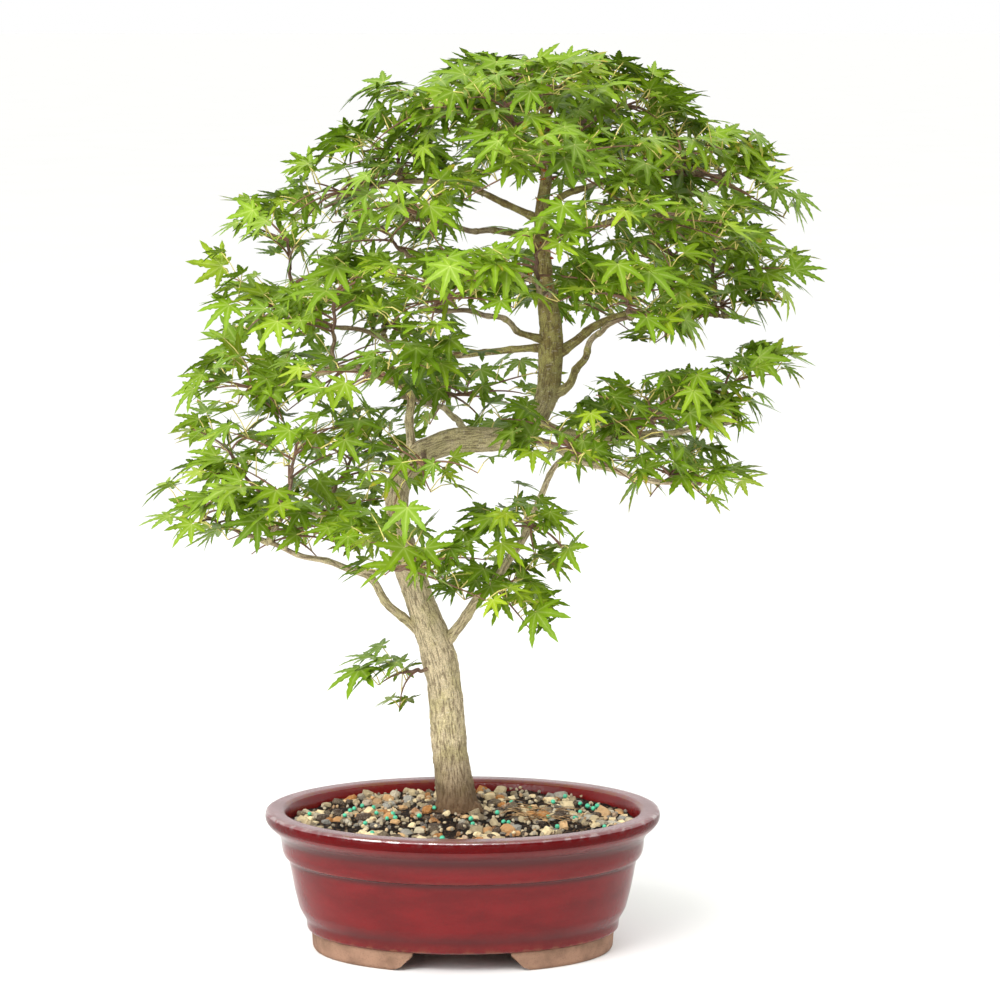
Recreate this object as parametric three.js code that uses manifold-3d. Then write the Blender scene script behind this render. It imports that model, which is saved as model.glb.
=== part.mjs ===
// Bonsai maple in an oval glazed pot. Millimetres, +Z up, +X to the right, -Y is the front.
// The origin is the middle of the pot's footprint, on the surface that the pot stands on.
import * as THREE from "three";
import { mergeVertices } from "three/addons/utils/BufferGeometryUtils.js";
import Module from "manifold-3d";

// Pot: overall sizes
const POT_LENGTH = 254; // rim, end to end
const POT_DEPTH = 192; // rim, front to back
const POT_HEIGHT = 91.8;
const FOOT_HEIGHT = 12.5;
const FOOT_INSET = 29; // how far the foot ring stands in from the rim's edge

// Pot: walls and openings
const WALL = 6.5;
const FLOOR = 8;
const RIM_WIDTH = 13; // flat top face of the rim
const LIP_HEIGHT = 5.8; // upright side of the rim
const COVE_DROP = 18.8; // from the rim's top down to where the body starts
const COVE_INSET = 10; // from the rim's edge in to the body
const FOOT_WALL = 11;
const ARCH_WIDTH_TOP = 62;
const ARCH_WIDTH_BOTTOM = 89;
const DRAIN_DIAMETER = 20;
const DRAIN_SPACING = 96; // between the two drain holes
const POT_SEGMENTS = 44;

// Screens that keep the soil in, one over each drain hole
const SCREEN_SIDE = 32;
const SCREEN_THICKNESS = 1.2;
const SCREEN_MESHES = 4; // openings along each side
const SCREEN_STRAND = 2.4;

// Soil and gravel
const GRAVEL_DROP = 7.5; // gravel surface below the rim's top, at the wall
const GRAVEL_THICKNESS = 8;
const GRAVEL_MOUND = 4; // rise of the gravel from the wall to the middle
const GRAVEL_BUMP = 0.9;

// Tree
const TREE_HEIGHT = 488; // gravel at the trunk up to the crown's top
const CANOPY_WIDTH = 424;
const CANOPY_DEPTH = 350;
const TRUNK_DIAMETER = 22; // halfway up the straight lower trunk
const ROOT_DEPTH = 42; // root crown below the gravel surface
const LAYER_THICKNESS = 2.6; // one layer of leaves

// Gaps between pieces
const SEAT_GAP = 0.3; // pieces that rest on each other
const LEAF_GAP = 0.8; // leaves to wood, and leaves to leaves
const SLIVER = 0.2; // details of a cut smaller than this are smoothed away

// The tree's routes below are drawn for a tree of these sizes, and stretched to the sizes above.
const DRAWN_HEIGHT = 488;
const DRAWN_WIDTH = 424;
const DRAWN_DEPTH = 350;
const DRAWN_GRAVEL_LEVEL = 86;
const DRAWN_ROOT_DEPTH = 42;
const DRAWN_DIAMETER = 22;

// Trunk: x, y, z and radius, from below the gravel to the tip.
const TRUNK = [
  [-4, 20, 44, 5],
  [-4, 20, 66, 19],
  [-4, 20, 85, 14.3],
  [-5, 20, 96, 12.9],
  [-8, 19, 120, 12],
  [-10, 18, 142, 11.2],
  [-12, 17, 166, 10.8],
  [-15, 16, 184, 11],
  [-20, 15, 201, 10.4],
  [-28, 13, 224, 9.2],
  [-35, 12, 246, 9],
  [-40, 10, 266, 8.2],
  [-42, 9, 285, 7.4],
  [-39, 7, 303, 7.4],
  [-31, 4, 316, 7.8],
  [-19, 0, 323, 7.8],
  [-5, -4, 328, 7.9],
  [11, -6, 329, 7.8],
  [26, -7, 330, 7.4],
  [40, -5, 336, 7.1],
  [50, -3, 348, 7.1],
  [55, 0, 363, 7.2],
  [56, 2, 380, 7.7],
  [56, 2, 399, 7.2],
  [53, 2, 421, 5.9],
  [51, 2, 446, 4.9],
  [50, 0, 471, 4.2],
  [53, 0, 493, 3.7],
  [54, 0, 515, 3.1],
  [52, 0, 537, 2.3],
  [48, 0, 556, 1.6],
];

// Branches: radius at the start and at the tip, then x, y, z along each one.
const BRANCHES = {
  low_left: [3.2, 1.4, [[-18, 15, 194], [-38, 10, 211], [-52, 0, 229], [-63, -14, 245], [-83, -26, 253],
    [-103, -32, 260], [-121, -36, 268]]],
  low_right: [3.6, 1.5, [[-14, 15, 192], [3, 10, 213], [13, 0, 230], [24, -10, 245], [38, -16, 265],
    [49, -15, 293], [59, -10, 313], [75, -6, 322]]],
  base_left: [2.6, 1.3, [[-40, 10, 268], [-60, 25, 271], [-87, 45, 272], [-110, 60, 276]]],
  elbow_left: [3, 1.4, [[-33, 5, 313], [-33, 0, 338], [-34, -4, 358], [-52, -12, 371], [-76, -22, 376],
    [-104, -30, 369], [-129, -30, 360]]],
  elbow_back: [2.8, 1.3, [[5, -5, 329], [-1, 40, 333], [-15, 80, 340], [-42, 105, 344]]],
  limb_right: [3.2, 1.4, [[46, -4, 341], [65, -20, 335], [89, -36, 333], [117, -46, 337], [148, -44, 341],
    [172, -30, 344]]],
  limb_right_low: [2.8, 1.3, [[37, -6, 334], [61, -36, 326], [92, -54, 316], [120, -58, 310], [149, -45, 306]]],
  mid_left_high: [2.2, 1.2, [[54, 2, 390], [38, -10, 397], [29, -26, 405], [19, -44, 411], [-2, -70, 416],
    [-24, -88, 418]]],
  mid_left: [2.4, 1.2, [[55, 3, 386], [33, 14, 385], [17, 24, 381], [-8, 34, 380], [-40, 38, 386],
    [-72, 32, 396], [-104, 20, 400]]],
  mid_right: [3.2, 1.3, [[57, 2, 380], [70, 4, 389], [84, 8, 400], [103, 14, 406], [126, 20, 408],
    [152, 22, 406], [170, 18, 405]]],
  mid_right_low: [2.8, 1.2, [[57, 0, 356], [67, -6, 364], [74, -16, 377], [81, -30, 393], [90, -48, 405],
    [104, -66, 412]]],
  upper_left_low: [1.9, 1.1, [[53, 2, 425], [43, 12, 430], [24, 36, 432], [-2, 62, 433], [-28, 80, 435]]],
  upper_left: [2.4, 1.2, [[51, 1, 456], [32, -22, 461], [7, -50, 464], [-11, -72, 470], [-33, -86, 474]]],
  upper_right: [2.4, 1.2, [[51, 1, 452], [67, -16, 459], [86, -36, 467], [116, -58, 474], [138, -66, 474]]],
  upper_right_high: [2.3, 1.2, [[51, 0, 472], [71, 12, 485], [100, 20, 493], [138, 22, 496], [166, 14, 494]]],
  upper_left_high: [2.3, 1.2, [[51, 0, 466], [27, 8, 478], [5, 14, 486], [-27, 14, 492], [-61, 4, 487],
    [-86, -8, 476]]],
  crown_left: [1.8, 1, [[53, 0, 495], [36, -8, 514], [15, -14, 530], [-7, -16, 541]]],
  crown_right: [1.8, 1, [[54, 0, 509], [71, 6, 524], [93, 10, 536]]],
  front_low: [2, 1.1, [[54, 1, 416], [54, -30, 424], [52, -65, 427], [48, -95, 427]]],
  front_high: [1.8, 1, [[53, 0, 492], [54, -30, 501], [56, -60, 506], [57, -82, 507]]],
  back_low: [2.2, 1.1, [[56, 3, 404], [53, 40, 413], [55, 80, 415], [59, 112, 410]]],
  back_high: [1.8, 1, [[52, 0, 488], [50, 35, 499], [43, 70, 504], [38, 98, 504]]],
};

// Surface roots: start radius, end radius and the points down into the soil.
const ROOTS = [
  [6, 1.6, [[-6, 18, 84], [-22, 14, 76], [-44, 8, 66]]],
  [5.5, 1.6, [[0, 18, 84], [16, 12, 77], [38, 6, 64]]],
  [5, 1.5, [[-3, 16, 82], [-2, 0, 74], [4, -20, 62]]],
  [5, 1.5, [[-5, 24, 82], [-12, 38, 73], [-26, 50, 62]]],
];

// Layers of leaves: middle of the layer, half width, half depth, and how far its edge hangs.
const LEAF_LAYERS = {
  crown_top: [[40, 0, 568], 62, 55, 6],
  crown_front: [[26, -62, 551], 60, 48, 6],
  crown_back: [[60, 68, 552], 60, 52, 6],
  crown_left: [[-22, -10, 543], 46, 44, 6],
  crown_right: [[104, 8, 546], 50, 48, 7],
  upper_left: [[-40, 12, 518], 50, 48, 7],
  upper_front: [[57, -96, 515], 64, 50, 7],
  upper_right: [[136, -24, 520], 56, 50, 8],
  upper_right_tip: [[172, 18, 500], 40, 42, 7],
  upper_back: [[40, 112, 511], 64, 50, 7],
  upper_right_back: [[122, 92, 501], 58, 50, 8],
  shoulder_left: [[-76, 4, 492], 56, 48, 7],
  shoulder_left_tip: [[-108, -24, 464], 42, 40, 6],
  shoulder_left_front: [[-24, -88, 484], 60, 50, 8],
  shoulder_left_back: [[-51, 84, 464], 58, 50, 8],
  shoulder_front: [[45, -122, 468], 60, 48, 8],
  shoulder_right_front: [[112, -84, 480], 60, 50, 8],
  shoulder_right: [[158, 0, 468], 52, 50, 8],
  shoulder_right_back: [[136, 88, 449], 56, 50, 8],
  mid_left_tip: [[-126, 22, 422], 42, 42, 6],
  mid_left: [[-78, -50, 434], 58, 50, 7],
  mid_left_back: [[-52, 92, 410], 58, 50, 7],
  mid_front: [[-5, -120, 438], 58, 50, 8],
  mid_right_front: [[98, -100, 437], 54, 48, 8],
  mid_right: [[164, 10, 422], 48, 50, 8],
  mid_back: [[61, 122, 420], 62, 50, 8],
  low_left_tip: [[-132, -26, 372], 44, 44, 7],
  low_left: [[-89, 44, 376], 56, 48, 7],
  low_left_front: [[-40, -96, 386], 58, 50, 8],
  low_right_tip: [[166, -6, 372], 46, 46, 8],
  low_right: [[116, -66, 363], 54, 50, 8],
  low_right_back: [[112, 72, 336], 58, 50, 8],
  low_back: [[2, 122, 352], 60, 50, 8],
  base_left_tip: [[-152, 12, 331], 42, 42, 6],
  base_left: [[-102, -52, 340], 56, 48, 7],
  base_left_back: [[-72, 85, 316], 58, 50, 7],
  base_front: [[-22, -78, 328], 56, 46, 7],
  base_right_front: [[66, -72, 342], 50, 46, 7],
  base_right: [[130, -32, 318], 58, 50, 8],
  bottom_left_tip: [[-166, -22, 292], 46, 40, 5],
  bottom_left: [[-104, -34, 284], 54, 48, 6],
  bottom_left_back: [[-92, 62, 280], 50, 44, 6],
  bottom_front: [[-22, -62, 266], 48, 44, 6],
  bottom_right: [[44, -34, 284], 46, 42, 7],
  bottom_right_low: [[26, -20, 240], 38, 36, 6],
  sprig_low: [[-38, 0, 184], 26, 24, 4],
};

const COLOURS = {
  glaze: ["#86302f", 0.22],
  clay: ["#b08a70", 0.85],
  screen: ["#20221f", 0.6],
  soil: ["#2b1a10", 0.95],
  gravel: ["#9c8a74", 0.9],
  bark: ["#b3a68c", 0.85],
  leaf: ["#768a31", 0.55],
};

const wasm = await Module();
wasm.setup();

// A closed geometry as a solid that can be joined and cut.
function solid(geometry) {
  const plain = geometry.clone();
  plain.deleteAttribute("normal");
  plain.deleteAttribute("uv");
  const merged = mergeVertices(plain, 1e-4);
  return new wasm.Manifold(
    new wasm.Mesh({
      numProp: 3,
      vertProperties: new Float32Array(merged.attributes.position.array),
      triVerts: new Uint32Array(merged.index.array),
    }),
  );
}

// The largest body of a solid that a cut has parted.
function largest(shape) {
  return shape.decompose().reduce((best, body) => (body.volume() > best.volume() ? body : best));
}

// A cut or joined solid as a geometry with flat faces, less the slivers and crumbs of a cut.
function geometryOf(shape) {
  const mesh = largest(shape.asOriginal().simplify(SLIVER)).getMesh();
  const geometry = new THREE.BufferGeometry();
  geometry.setAttribute("position", new THREE.BufferAttribute(mesh.vertProperties, 3));
  geometry.setIndex(new THREE.BufferAttribute(mesh.triVerts, 1));
  geometry.computeVertexNormals();
  return geometry;
}

const lerp = THREE.MathUtils.lerp;

// ---------------------------------------------------------------------------------- Pot

// The pot's ovals keep one wall-to-wall inset all round, so half the depth is half the length
// less OVAL. Near the middle, inside CORE, they keep one proportion instead.
const OVAL = (POT_LENGTH - POT_DEPTH) / 2;
const CORE = POT_LENGTH / 2 - FOOT_INSET - FOOT_WALL - 6;

function ovalDepth(halfLength) {
  if (halfLength > CORE) return halfLength - OVAL;
  return (halfLength * (CORE - OVAL)) / CORE;
}

// Turns a profile of [half length, height] points, listed from the underside's middle outwards
// and over the top, into an oval body.
function ovalBody(profile, segments = POT_SEGMENTS) {
  const points = profile.map(([a, z]) => new THREE.Vector2(a, z));
  const geometry = new THREE.LatheGeometry(points, segments);
  geometry.rotateX(Math.PI / 2);
  const position = geometry.attributes.position;
  for (let i = 0; i < position.count; i++) {
    const a = Math.hypot(position.getX(i), position.getY(i));
    if (a > 0) position.setY(i, (position.getY(i) * ovalDepth(a)) / a);
  }
  return geometry;
}

const half = POT_LENGTH / 2;
const bodyTop = POT_HEIGHT - COVE_DROP;
const floorTop = FOOT_HEIGHT + FLOOR;

// Outside of the glazed body between the cove and the foot: [share of the way down, share of
// the way in]. The second and third steps are the groove under the band, the last the ledge.
const BODY_STEPS = [
  [0, 0],
  [0.18, 0.11],
  [0.215, 0.25],
  [0.25, 0.27],
  [0.545, 0.46],
  [0.74, 0.62],
  [0.86, 0.8],
  [0.95, 0.9],
  [1, 1],
];

function bodyPoint([down, inwards]) {
  return [half - lerp(COVE_INSET, FOOT_INSET, inwards), lerp(bodyTop, FOOT_HEIGHT, down)];
}

// The inside wall from the floor's corner up to the rim: [half length, height].
function cavityWall() {
  const corner = 9;
  const steps = [0.86, 0.545, 0.25, 0].map((down) => {
    const step = BODY_STEPS.find(([share]) => share === down);
    const [a, z] = bodyPoint(step);
    return [a - WALL, z];
  });
  const wall = steps.filter(([, z]) => z > floorTop + corner / 2);
  const [foot] = wall;
  return [
    [foot[0] - corner, floorTop],
    [foot[0] - corner / 4, floorTop + corner / 3],
    ...wall,
    [half - RIM_WIDTH - 1.5, POT_HEIGHT - 6],
    [half - RIM_WIDTH, POT_HEIGHT - 1],
  ];
}

// Half length of the cavity at a height, less a gap.
function cavityAt(height, gap) {
  const wall = cavityWall();
  const above = wall.findIndex(([, z]) => z > height);
  const [a0, z0] = wall[above - 1];
  const [a1, z1] = wall[above];
  return lerp(a0, a1, (height - z0) / (z1 - z0)) - gap;
}

function potProfile() {
  const footOut = half - FOOT_INSET - 1;
  return [
    [0, FOOT_HEIGHT],
    [footOut - FOOT_WALL, FOOT_HEIGHT],
    [footOut - FOOT_WALL - 1, 0],
    [footOut - 2, 0],
    [footOut - 1, 1.8],
    [footOut, FOOT_HEIGHT - 1.5],
    ...BODY_STEPS.map(bodyPoint).reverse(),
    [half - 2.5, POT_HEIGHT - LIP_HEIGHT - 4],
    [half, POT_HEIGHT - LIP_HEIGHT],
    [half, POT_HEIGHT - 2],
    [half - 1.5, POT_HEIGHT],
    [half - RIM_WIDTH + 1.5, POT_HEIGHT],
    ...cavityWall().reverse(),
    [0, floorTop],
  ];
}

// The gap between the two feet, cut from front to back: flat on top with eased corners.
function footArch() {
  const top = ARCH_WIDTH_TOP / 2;
  const bottom = ARCH_WIDTH_BOTTOM / 2;
  const outline = new THREE.Shape();
  outline.moveTo(-bottom, -1);
  outline.lineTo(bottom, -1);
  outline.lineTo(bottom, 0);
  outline.quadraticCurveTo(lerp(top, bottom, 0.45), FOOT_HEIGHT * 0.45, top, FOOT_HEIGHT - 0.01);
  outline.lineTo(-top, FOOT_HEIGHT - 0.01);
  outline.quadraticCurveTo(-lerp(top, bottom, 0.45), FOOT_HEIGHT * 0.45, -bottom, 0);
  const arch = new THREE.ExtrudeGeometry(outline, {
    depth: POT_DEPTH,
    bevelEnabled: false,
    curveSegments: 5,
  });
  return arch.rotateX(Math.PI / 2).translate(0, POT_DEPTH / 2, 0);
}

const drainCentres = { left: -DRAIN_SPACING / 2, right: DRAIN_SPACING / 2 };

function potGeometry() {
  let pot = solid(ovalBody(potProfile())).subtract(solid(footArch()));
  for (const x of Object.values(drainCentres)) {
    const hole = new THREE.CylinderGeometry(DRAIN_DIAMETER / 2, DRAIN_DIAMETER / 2, FLOOR * 4, 20);
    pot = pot.subtract(solid(hole.rotateX(Math.PI / 2).translate(x, 0, floorTop)));
  }
  return geometryOf(pot);
}

// A square of mesh with rows of square openings, lying on the pot's floor.
function screenGeometry() {
  const pitch = (SCREEN_SIDE - SCREEN_STRAND) / SCREEN_MESHES;
  const opening = new THREE.BoxGeometry(pitch - SCREEN_STRAND, pitch - SCREEN_STRAND, SCREEN_THICKNESS * 2);
  let screen = solid(new THREE.BoxGeometry(SCREEN_SIDE, SCREEN_SIDE, SCREEN_THICKNESS));
  for (let row = 0; row < SCREEN_MESHES; row++) {
    for (let column = 0; column < SCREEN_MESHES; column++) {
      const x = (column - (SCREEN_MESHES - 1) / 2) * pitch;
      const y = (row - (SCREEN_MESHES - 1) / 2) * pitch;
      screen = screen.subtract(solid(opening.clone().translate(x, y, 0)));
    }
  }
  return geometryOf(screen);
}

// ---------------------------------------------------------------------------------- Wood

const gravelAtWall = POT_HEIGHT - GRAVEL_DROP;
const gravelAtTrunk = gravelAtWall + GRAVEL_MOUND;

// A drawn point of the tree at its built size: the gravel's level stays, the rest stretches.
function grow([x, y, z]) {
  const rise = z - DRAWN_GRAVEL_LEVEL;
  const stretch = rise > 0 ? TREE_HEIGHT / DRAWN_HEIGHT : ROOT_DEPTH / DRAWN_ROOT_DEPTH;
  return new THREE.Vector3(
    (x * CANOPY_WIDTH) / DRAWN_WIDTH,
    (y * CANOPY_DEPTH) / DRAWN_DEPTH,
    gravelAtTrunk + rise * stretch,
  );
}

const girth = TRUNK_DIAMETER / DRAWN_DIAMETER;

// A length of wood: a cylinder whose rings are carried along a smooth curve through the points,
// each ring as wide as the radii say there, grown all round by room.
function limb(points, radii, sides, step, room) {
  const route = new THREE.CatmullRomCurve3(points);
  const steps = Math.max(3, Math.round(route.getLength() / step));
  const frames = route.computeFrenetFrames(steps);
  const geometry = new THREE.CylinderGeometry(1, 1, 1, sides, steps);
  const position = geometry.attributes.position;
  const place = new THREE.Vector3();
  for (let i = 0; i < position.count; i++) {
    const ring = Math.round((position.getY(i) + 0.5) * steps);
    const along = route.getUtoTmapping(ring / steps) * (radii.length - 1);
    const before = Math.min(Math.floor(along), radii.length - 2);
    const radius = lerp(radii[before], radii[before + 1], along - before) * girth + room;
    route.getPointAt(ring / steps, place);
    if (ring === 0) place.addScaledVector(frames.tangents[0], -room);
    if (ring === steps) place.addScaledVector(frames.tangents[steps], room);
    place.addScaledVector(frames.normals[ring], position.getZ(i) * radius);
    place.addScaledVector(frames.binormals[ring], position.getX(i) * radius);
    position.setXYZ(i, place.x, place.y, place.z);
  }
  return solid(geometry);
}

const branchRoutes = Object.values(BRANCHES).map(([start, end, points]) => {
  const last = points.length - 1;
  return {
    points: points.map(grow),
    radii: points.map((_, i) => lerp(start, end, i / last)),
  };
});

// Places along the trunk and the branches that a leaf stalk can grow from.
function growingPlaces() {
  const bare = 5; // trunk points with no growth
  const trunkTop = TRUNK.slice(bare).map(grow);
  const routes = [trunkTop, ...branchRoutes.map((branch) => branch.points)];
  return routes.flatMap((points) => {
    const route = new THREE.CatmullRomCurve3(points);
    return route.getSpacedPoints(Math.ceil(route.getLength() / 8));
  });
}

// The twig that carries a layer of leaves: from the nearest wood below the layer, outwards and
// then up into the layer's middle.
function twigRoute(places, centre) {
  const below = places.filter((place) => place.z < centre.z - 4);
  const reach = (place) => place.distanceTo(centre);
  const start = below.reduce((best, place) => (reach(place) < reach(best) ? place : best));
  const bend = start.clone().lerp(centre, 0.6);
  bend.z = lerp(start.z, centre.z, 0.35);
  const end = centre.clone().setZ(centre.z - LAYER_THICKNESS / 2 - 3 * LEAF_GAP);
  return [start, bend, end];
}

const TWIG_RADII = [1.5, 1.2, 0.9];
const TRUNK_SIDES = 10;
const BRANCH_SIDES = 6;
const TWIG_SIDES = 4;

function woodSolid(room) {
  const trunk = limb(TRUNK.map(grow), TRUNK.map((point) => point[3]), TRUNK_SIDES, 15, room);
  const roots = ROOTS.map(([start, end, points]) =>
    limb(points.map(grow), [start, (start + end) / 2, end], BRANCH_SIDES, 15, room),
  );
  const branches = branchRoutes.map(({ points, radii }) => limb(points, radii, BRANCH_SIDES, 20, room));
  const places = growingPlaces();
  const twigs = Object.values(LEAF_LAYERS).map(([centre]) =>
    limb(twigRoute(places, grow(centre)), TWIG_RADII, TWIG_SIDES, 24, room),
  );
  return [...roots, ...branches, ...twigs].reduce((wood, piece) => wood.add(piece), trunk);
}

// ---------------------------------------------------------------------------------- Soil

const soilTop = gravelAtWall - GRAVEL_THICKNESS;

function soilGeometry() {
  const wall = cavityWall().filter(([, z]) => z < soilTop);
  const sides = wall.map(([a, z]) => [a - SEAT_GAP, Math.max(z, floorTop + SEAT_GAP)]);
  const profile = [
    [0, floorTop + SEAT_GAP],
    ...sides,
    [cavityAt(soilTop, SEAT_GAP), soilTop],
    [0, soilTop + GRAVEL_MOUND],
  ];
  let soil = solid(ovalBody(profile));
  for (const x of Object.values(drainCentres)) {
    const side = SCREEN_SIDE + 2 * SEAT_GAP;
    const seat = new THREE.BoxGeometry(side, side, 2 * (SCREEN_THICKNESS + 2 * SEAT_GAP));
    soil = soil.subtract(solid(seat.translate(x, 0, floorTop)));
  }
  return geometryOf(soil.subtract(woodSolid(SEAT_GAP)));
}

// The gravel is a ring that fills the pot to just under the rim, lumpy on top.
function gravelGeometry() {
  const edge = cavityAt(gravelAtWall, SEAT_GAP);
  const rings = 6;
  const top = [];
  for (let ring = 0; ring <= rings; ring++) {
    const share = ring / rings;
    top.push([edge * (1 - share), gravelAtWall + GRAVEL_MOUND * share]);
  }
  const seat = SEAT_GAP * 1.5;
  const profile = [
    [0, soilTop + GRAVEL_MOUND + seat],
    [cavityAt(soilTop + seat, SEAT_GAP * 1.5), soilTop + seat],
    ...top,
  ];
  const geometry = ovalBody(profile);
  const position = geometry.attributes.position;
  for (let i = 0; i < position.count; i++) {
    const [x, y, z] = [position.getX(i), position.getY(i), position.getZ(i)];
    const share = Math.hypot(x / edge, y / ovalDepth(edge));
    const onTop = z > lerp(gravelAtTrunk, gravelAtWall, share) - 1;
    const lump = Math.sin(x * 0.41 + y * 0.23) * Math.cos(y * 0.47 - x * 0.13);
    if (onTop) position.setZ(i, z + lump * GRAVEL_BUMP);
  }
  return geometryOf(solid(geometry).subtract(woodSolid(SEAT_GAP)));
}

// ---------------------------------------------------------------------------------- Leaves

// One layer of leaves: a thin dome whose edge runs out and in from leaf to leaf. It stretches with
// the tree as a whole, so that layers which clear each other as drawn always do.
function layerGeometry([centre, halfWidth, halfDepth, droop], room) {
  const lobes = 8;
  const notch = 0.84;
  const inner = 0.55;
  const thick = LAYER_THICKNESS / 2;
  const profile = [
    [0, -thick],
    [inner, -droop * inner * inner - thick],
    [1, -droop],
    [inner, thick - droop * inner * inner],
    [0, thick],
  ];
  const points = profile.map(([share, height]) => new THREE.Vector2(share, height));
  const geometry = new THREE.LatheGeometry(points, lobes * 2, Math.PI / 2);
  geometry.rotateX(Math.PI / 2);
  const position = geometry.attributes.position;
  for (let i = 0; i < position.count; i++) {
    const [x, y] = [position.getX(i), position.getY(i)];
    const between = Math.round((Math.atan2(y, x) / Math.PI) * lobes) % 2 !== 0;
    const atEdge = Math.hypot(x, y) > 0.9;
    const reach = atEdge && between ? notch : 1;
    const drawn = [
      centre[0] + x * halfWidth * reach,
      centre[1] + y * halfDepth * reach,
      centre[2] + position.getZ(i),
    ];
    position.setXYZ(i, ...grow(drawn).toArray());
  }
  return geometryOf(solid(geometry).subtract(room));
}

// ---------------------------------------------------------------------------------- Assembly

function mesh(name, geometry, colour) {
  const [tone, roughness] = COLOURS[colour];
  const material = new THREE.MeshStandardMaterial({ color: tone, roughness, metalness: 0 });
  const made = new THREE.Mesh(geometry, material);
  made.name = name;
  return made;
}

const bonsai = new THREE.Group();
bonsai.add(mesh("pot", potGeometry(), "glaze"));
for (const [side, x] of Object.entries(drainCentres)) {
  const screen = mesh("drain_screen_" + side, screenGeometry(), "screen");
  screen.position.set(x, 0, floorTop + SEAT_GAP + SCREEN_THICKNESS / 2);
  bonsai.add(screen);
}
bonsai.add(mesh("soil", soilGeometry(), "soil"));
bonsai.add(mesh("gravel_layer", gravelGeometry(), "gravel"));
bonsai.add(mesh("trunk_and_branches", geometryOf(woodSolid(0)), "bark"));
const roomForWood = woodSolid(LEAF_GAP);
for (const [name, layer] of Object.entries(LEAF_LAYERS)) {
  bonsai.add(mesh("leaves_" + name, layerGeometry(layer, roomForWood), "leaf"));
}

export default bonsai;
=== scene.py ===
import math

import bpy
import numpy as np
from bpy.props import FloatProperty, FloatVectorProperty, IntProperty, PointerProperty
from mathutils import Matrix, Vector


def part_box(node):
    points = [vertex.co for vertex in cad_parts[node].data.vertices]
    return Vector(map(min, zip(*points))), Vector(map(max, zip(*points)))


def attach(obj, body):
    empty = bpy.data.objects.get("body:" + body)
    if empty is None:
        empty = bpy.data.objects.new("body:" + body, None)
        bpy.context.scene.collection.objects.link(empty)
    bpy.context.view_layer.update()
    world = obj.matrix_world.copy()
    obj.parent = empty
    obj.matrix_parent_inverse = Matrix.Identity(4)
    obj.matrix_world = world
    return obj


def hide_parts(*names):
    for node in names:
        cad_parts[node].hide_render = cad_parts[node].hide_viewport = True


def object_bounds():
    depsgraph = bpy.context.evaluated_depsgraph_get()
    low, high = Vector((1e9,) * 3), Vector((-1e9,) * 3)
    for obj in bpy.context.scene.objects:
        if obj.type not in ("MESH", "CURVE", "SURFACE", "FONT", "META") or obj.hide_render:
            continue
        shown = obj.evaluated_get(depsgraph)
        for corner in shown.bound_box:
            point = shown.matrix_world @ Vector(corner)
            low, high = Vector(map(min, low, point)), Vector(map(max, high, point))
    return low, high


bl_info = {
    "name": "Bonsai maple",
    "version": (1, 0, 0),
    "blender": (4, 5, 0),
    "location": "View3D > Sidebar > Bonsai",
    "description": "A maple bonsai in an oval glazed pot, with gravel, bark and separate leaves",
    "category": "Add Mesh",
}

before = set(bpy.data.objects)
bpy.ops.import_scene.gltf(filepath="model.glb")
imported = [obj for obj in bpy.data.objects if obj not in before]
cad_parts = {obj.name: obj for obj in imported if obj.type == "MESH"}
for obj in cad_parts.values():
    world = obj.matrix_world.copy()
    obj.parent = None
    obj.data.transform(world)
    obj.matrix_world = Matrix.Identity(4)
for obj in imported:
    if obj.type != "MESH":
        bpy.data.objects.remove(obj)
CAD_BOX = [list(corner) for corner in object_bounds()]
POT_LOW, POT_HIGH = (np.array(corner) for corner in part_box("pot"))
GRAVEL_LOW, GRAVEL_HIGH = (np.array(corner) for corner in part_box("gravel_layer"))
SPRAY_NODES = sorted(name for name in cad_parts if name.startswith("leaves_"))

MM = 0.001
TAU = 2 * math.pi

# A seed for everything random. A spray's own number is added to those of its shoots and its leaves.
SEEDS = {
    "bed level": 3, "bed grit": 8, "bare spots": 12, "gravel": 21, "bark lumps": 31, "bark ridges": 47,
    "branches": 5, "roots": 6, "twigs": 7, "bud scales": 77, "shoots": 700, "leaves": 9000,
}

# Trunk: x, y, z and radius in millimetres, from below the gravel to the tip.
TRUNK = np.array([
    [-4, 20, 62, 16], [-4, 20, 76, 16], [-4, 20, 87, 13.2], [-5, 20, 98, 12], [-8, 19, 122, 11.4],
    [-10, 18, 144, 11.2], [-12, 17, 168, 10.8], [-15, 16, 186, 11.2], [-20, 15, 203, 10.4],
    [-28, 13, 226, 9.2], [-35, 12, 248, 9], [-40, 10, 268, 8.2], [-42, 9, 287, 7.4], [-39, 7, 305, 7.4],
    [-31, 4, 318, 7.8], [-19, 0, 325, 7.8], [-5, -4, 330, 7.9], [11, -6, 331, 7.8], [26, -7, 332, 7.4],
    [40, -5, 338, 7.1], [50, -3, 350, 7.1], [55, 0, 365, 7.2], [56, 2, 382, 7.7], [56, 2, 401, 7.2],
    [53, 2, 423, 5.9], [51, 2, 448, 4.9], [50, 0, 473, 4.2], [53, 0, 495, 3.7], [54, 0, 517, 3.1],
    [52, 0, 539, 2.3], [48, 0, 558, 1.4],
])

# Points of the trunk, from the lowest up, that no twig grows from, and its first point in the crown's top.
BARE_FOOT = 5
CROWN = 22

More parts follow.
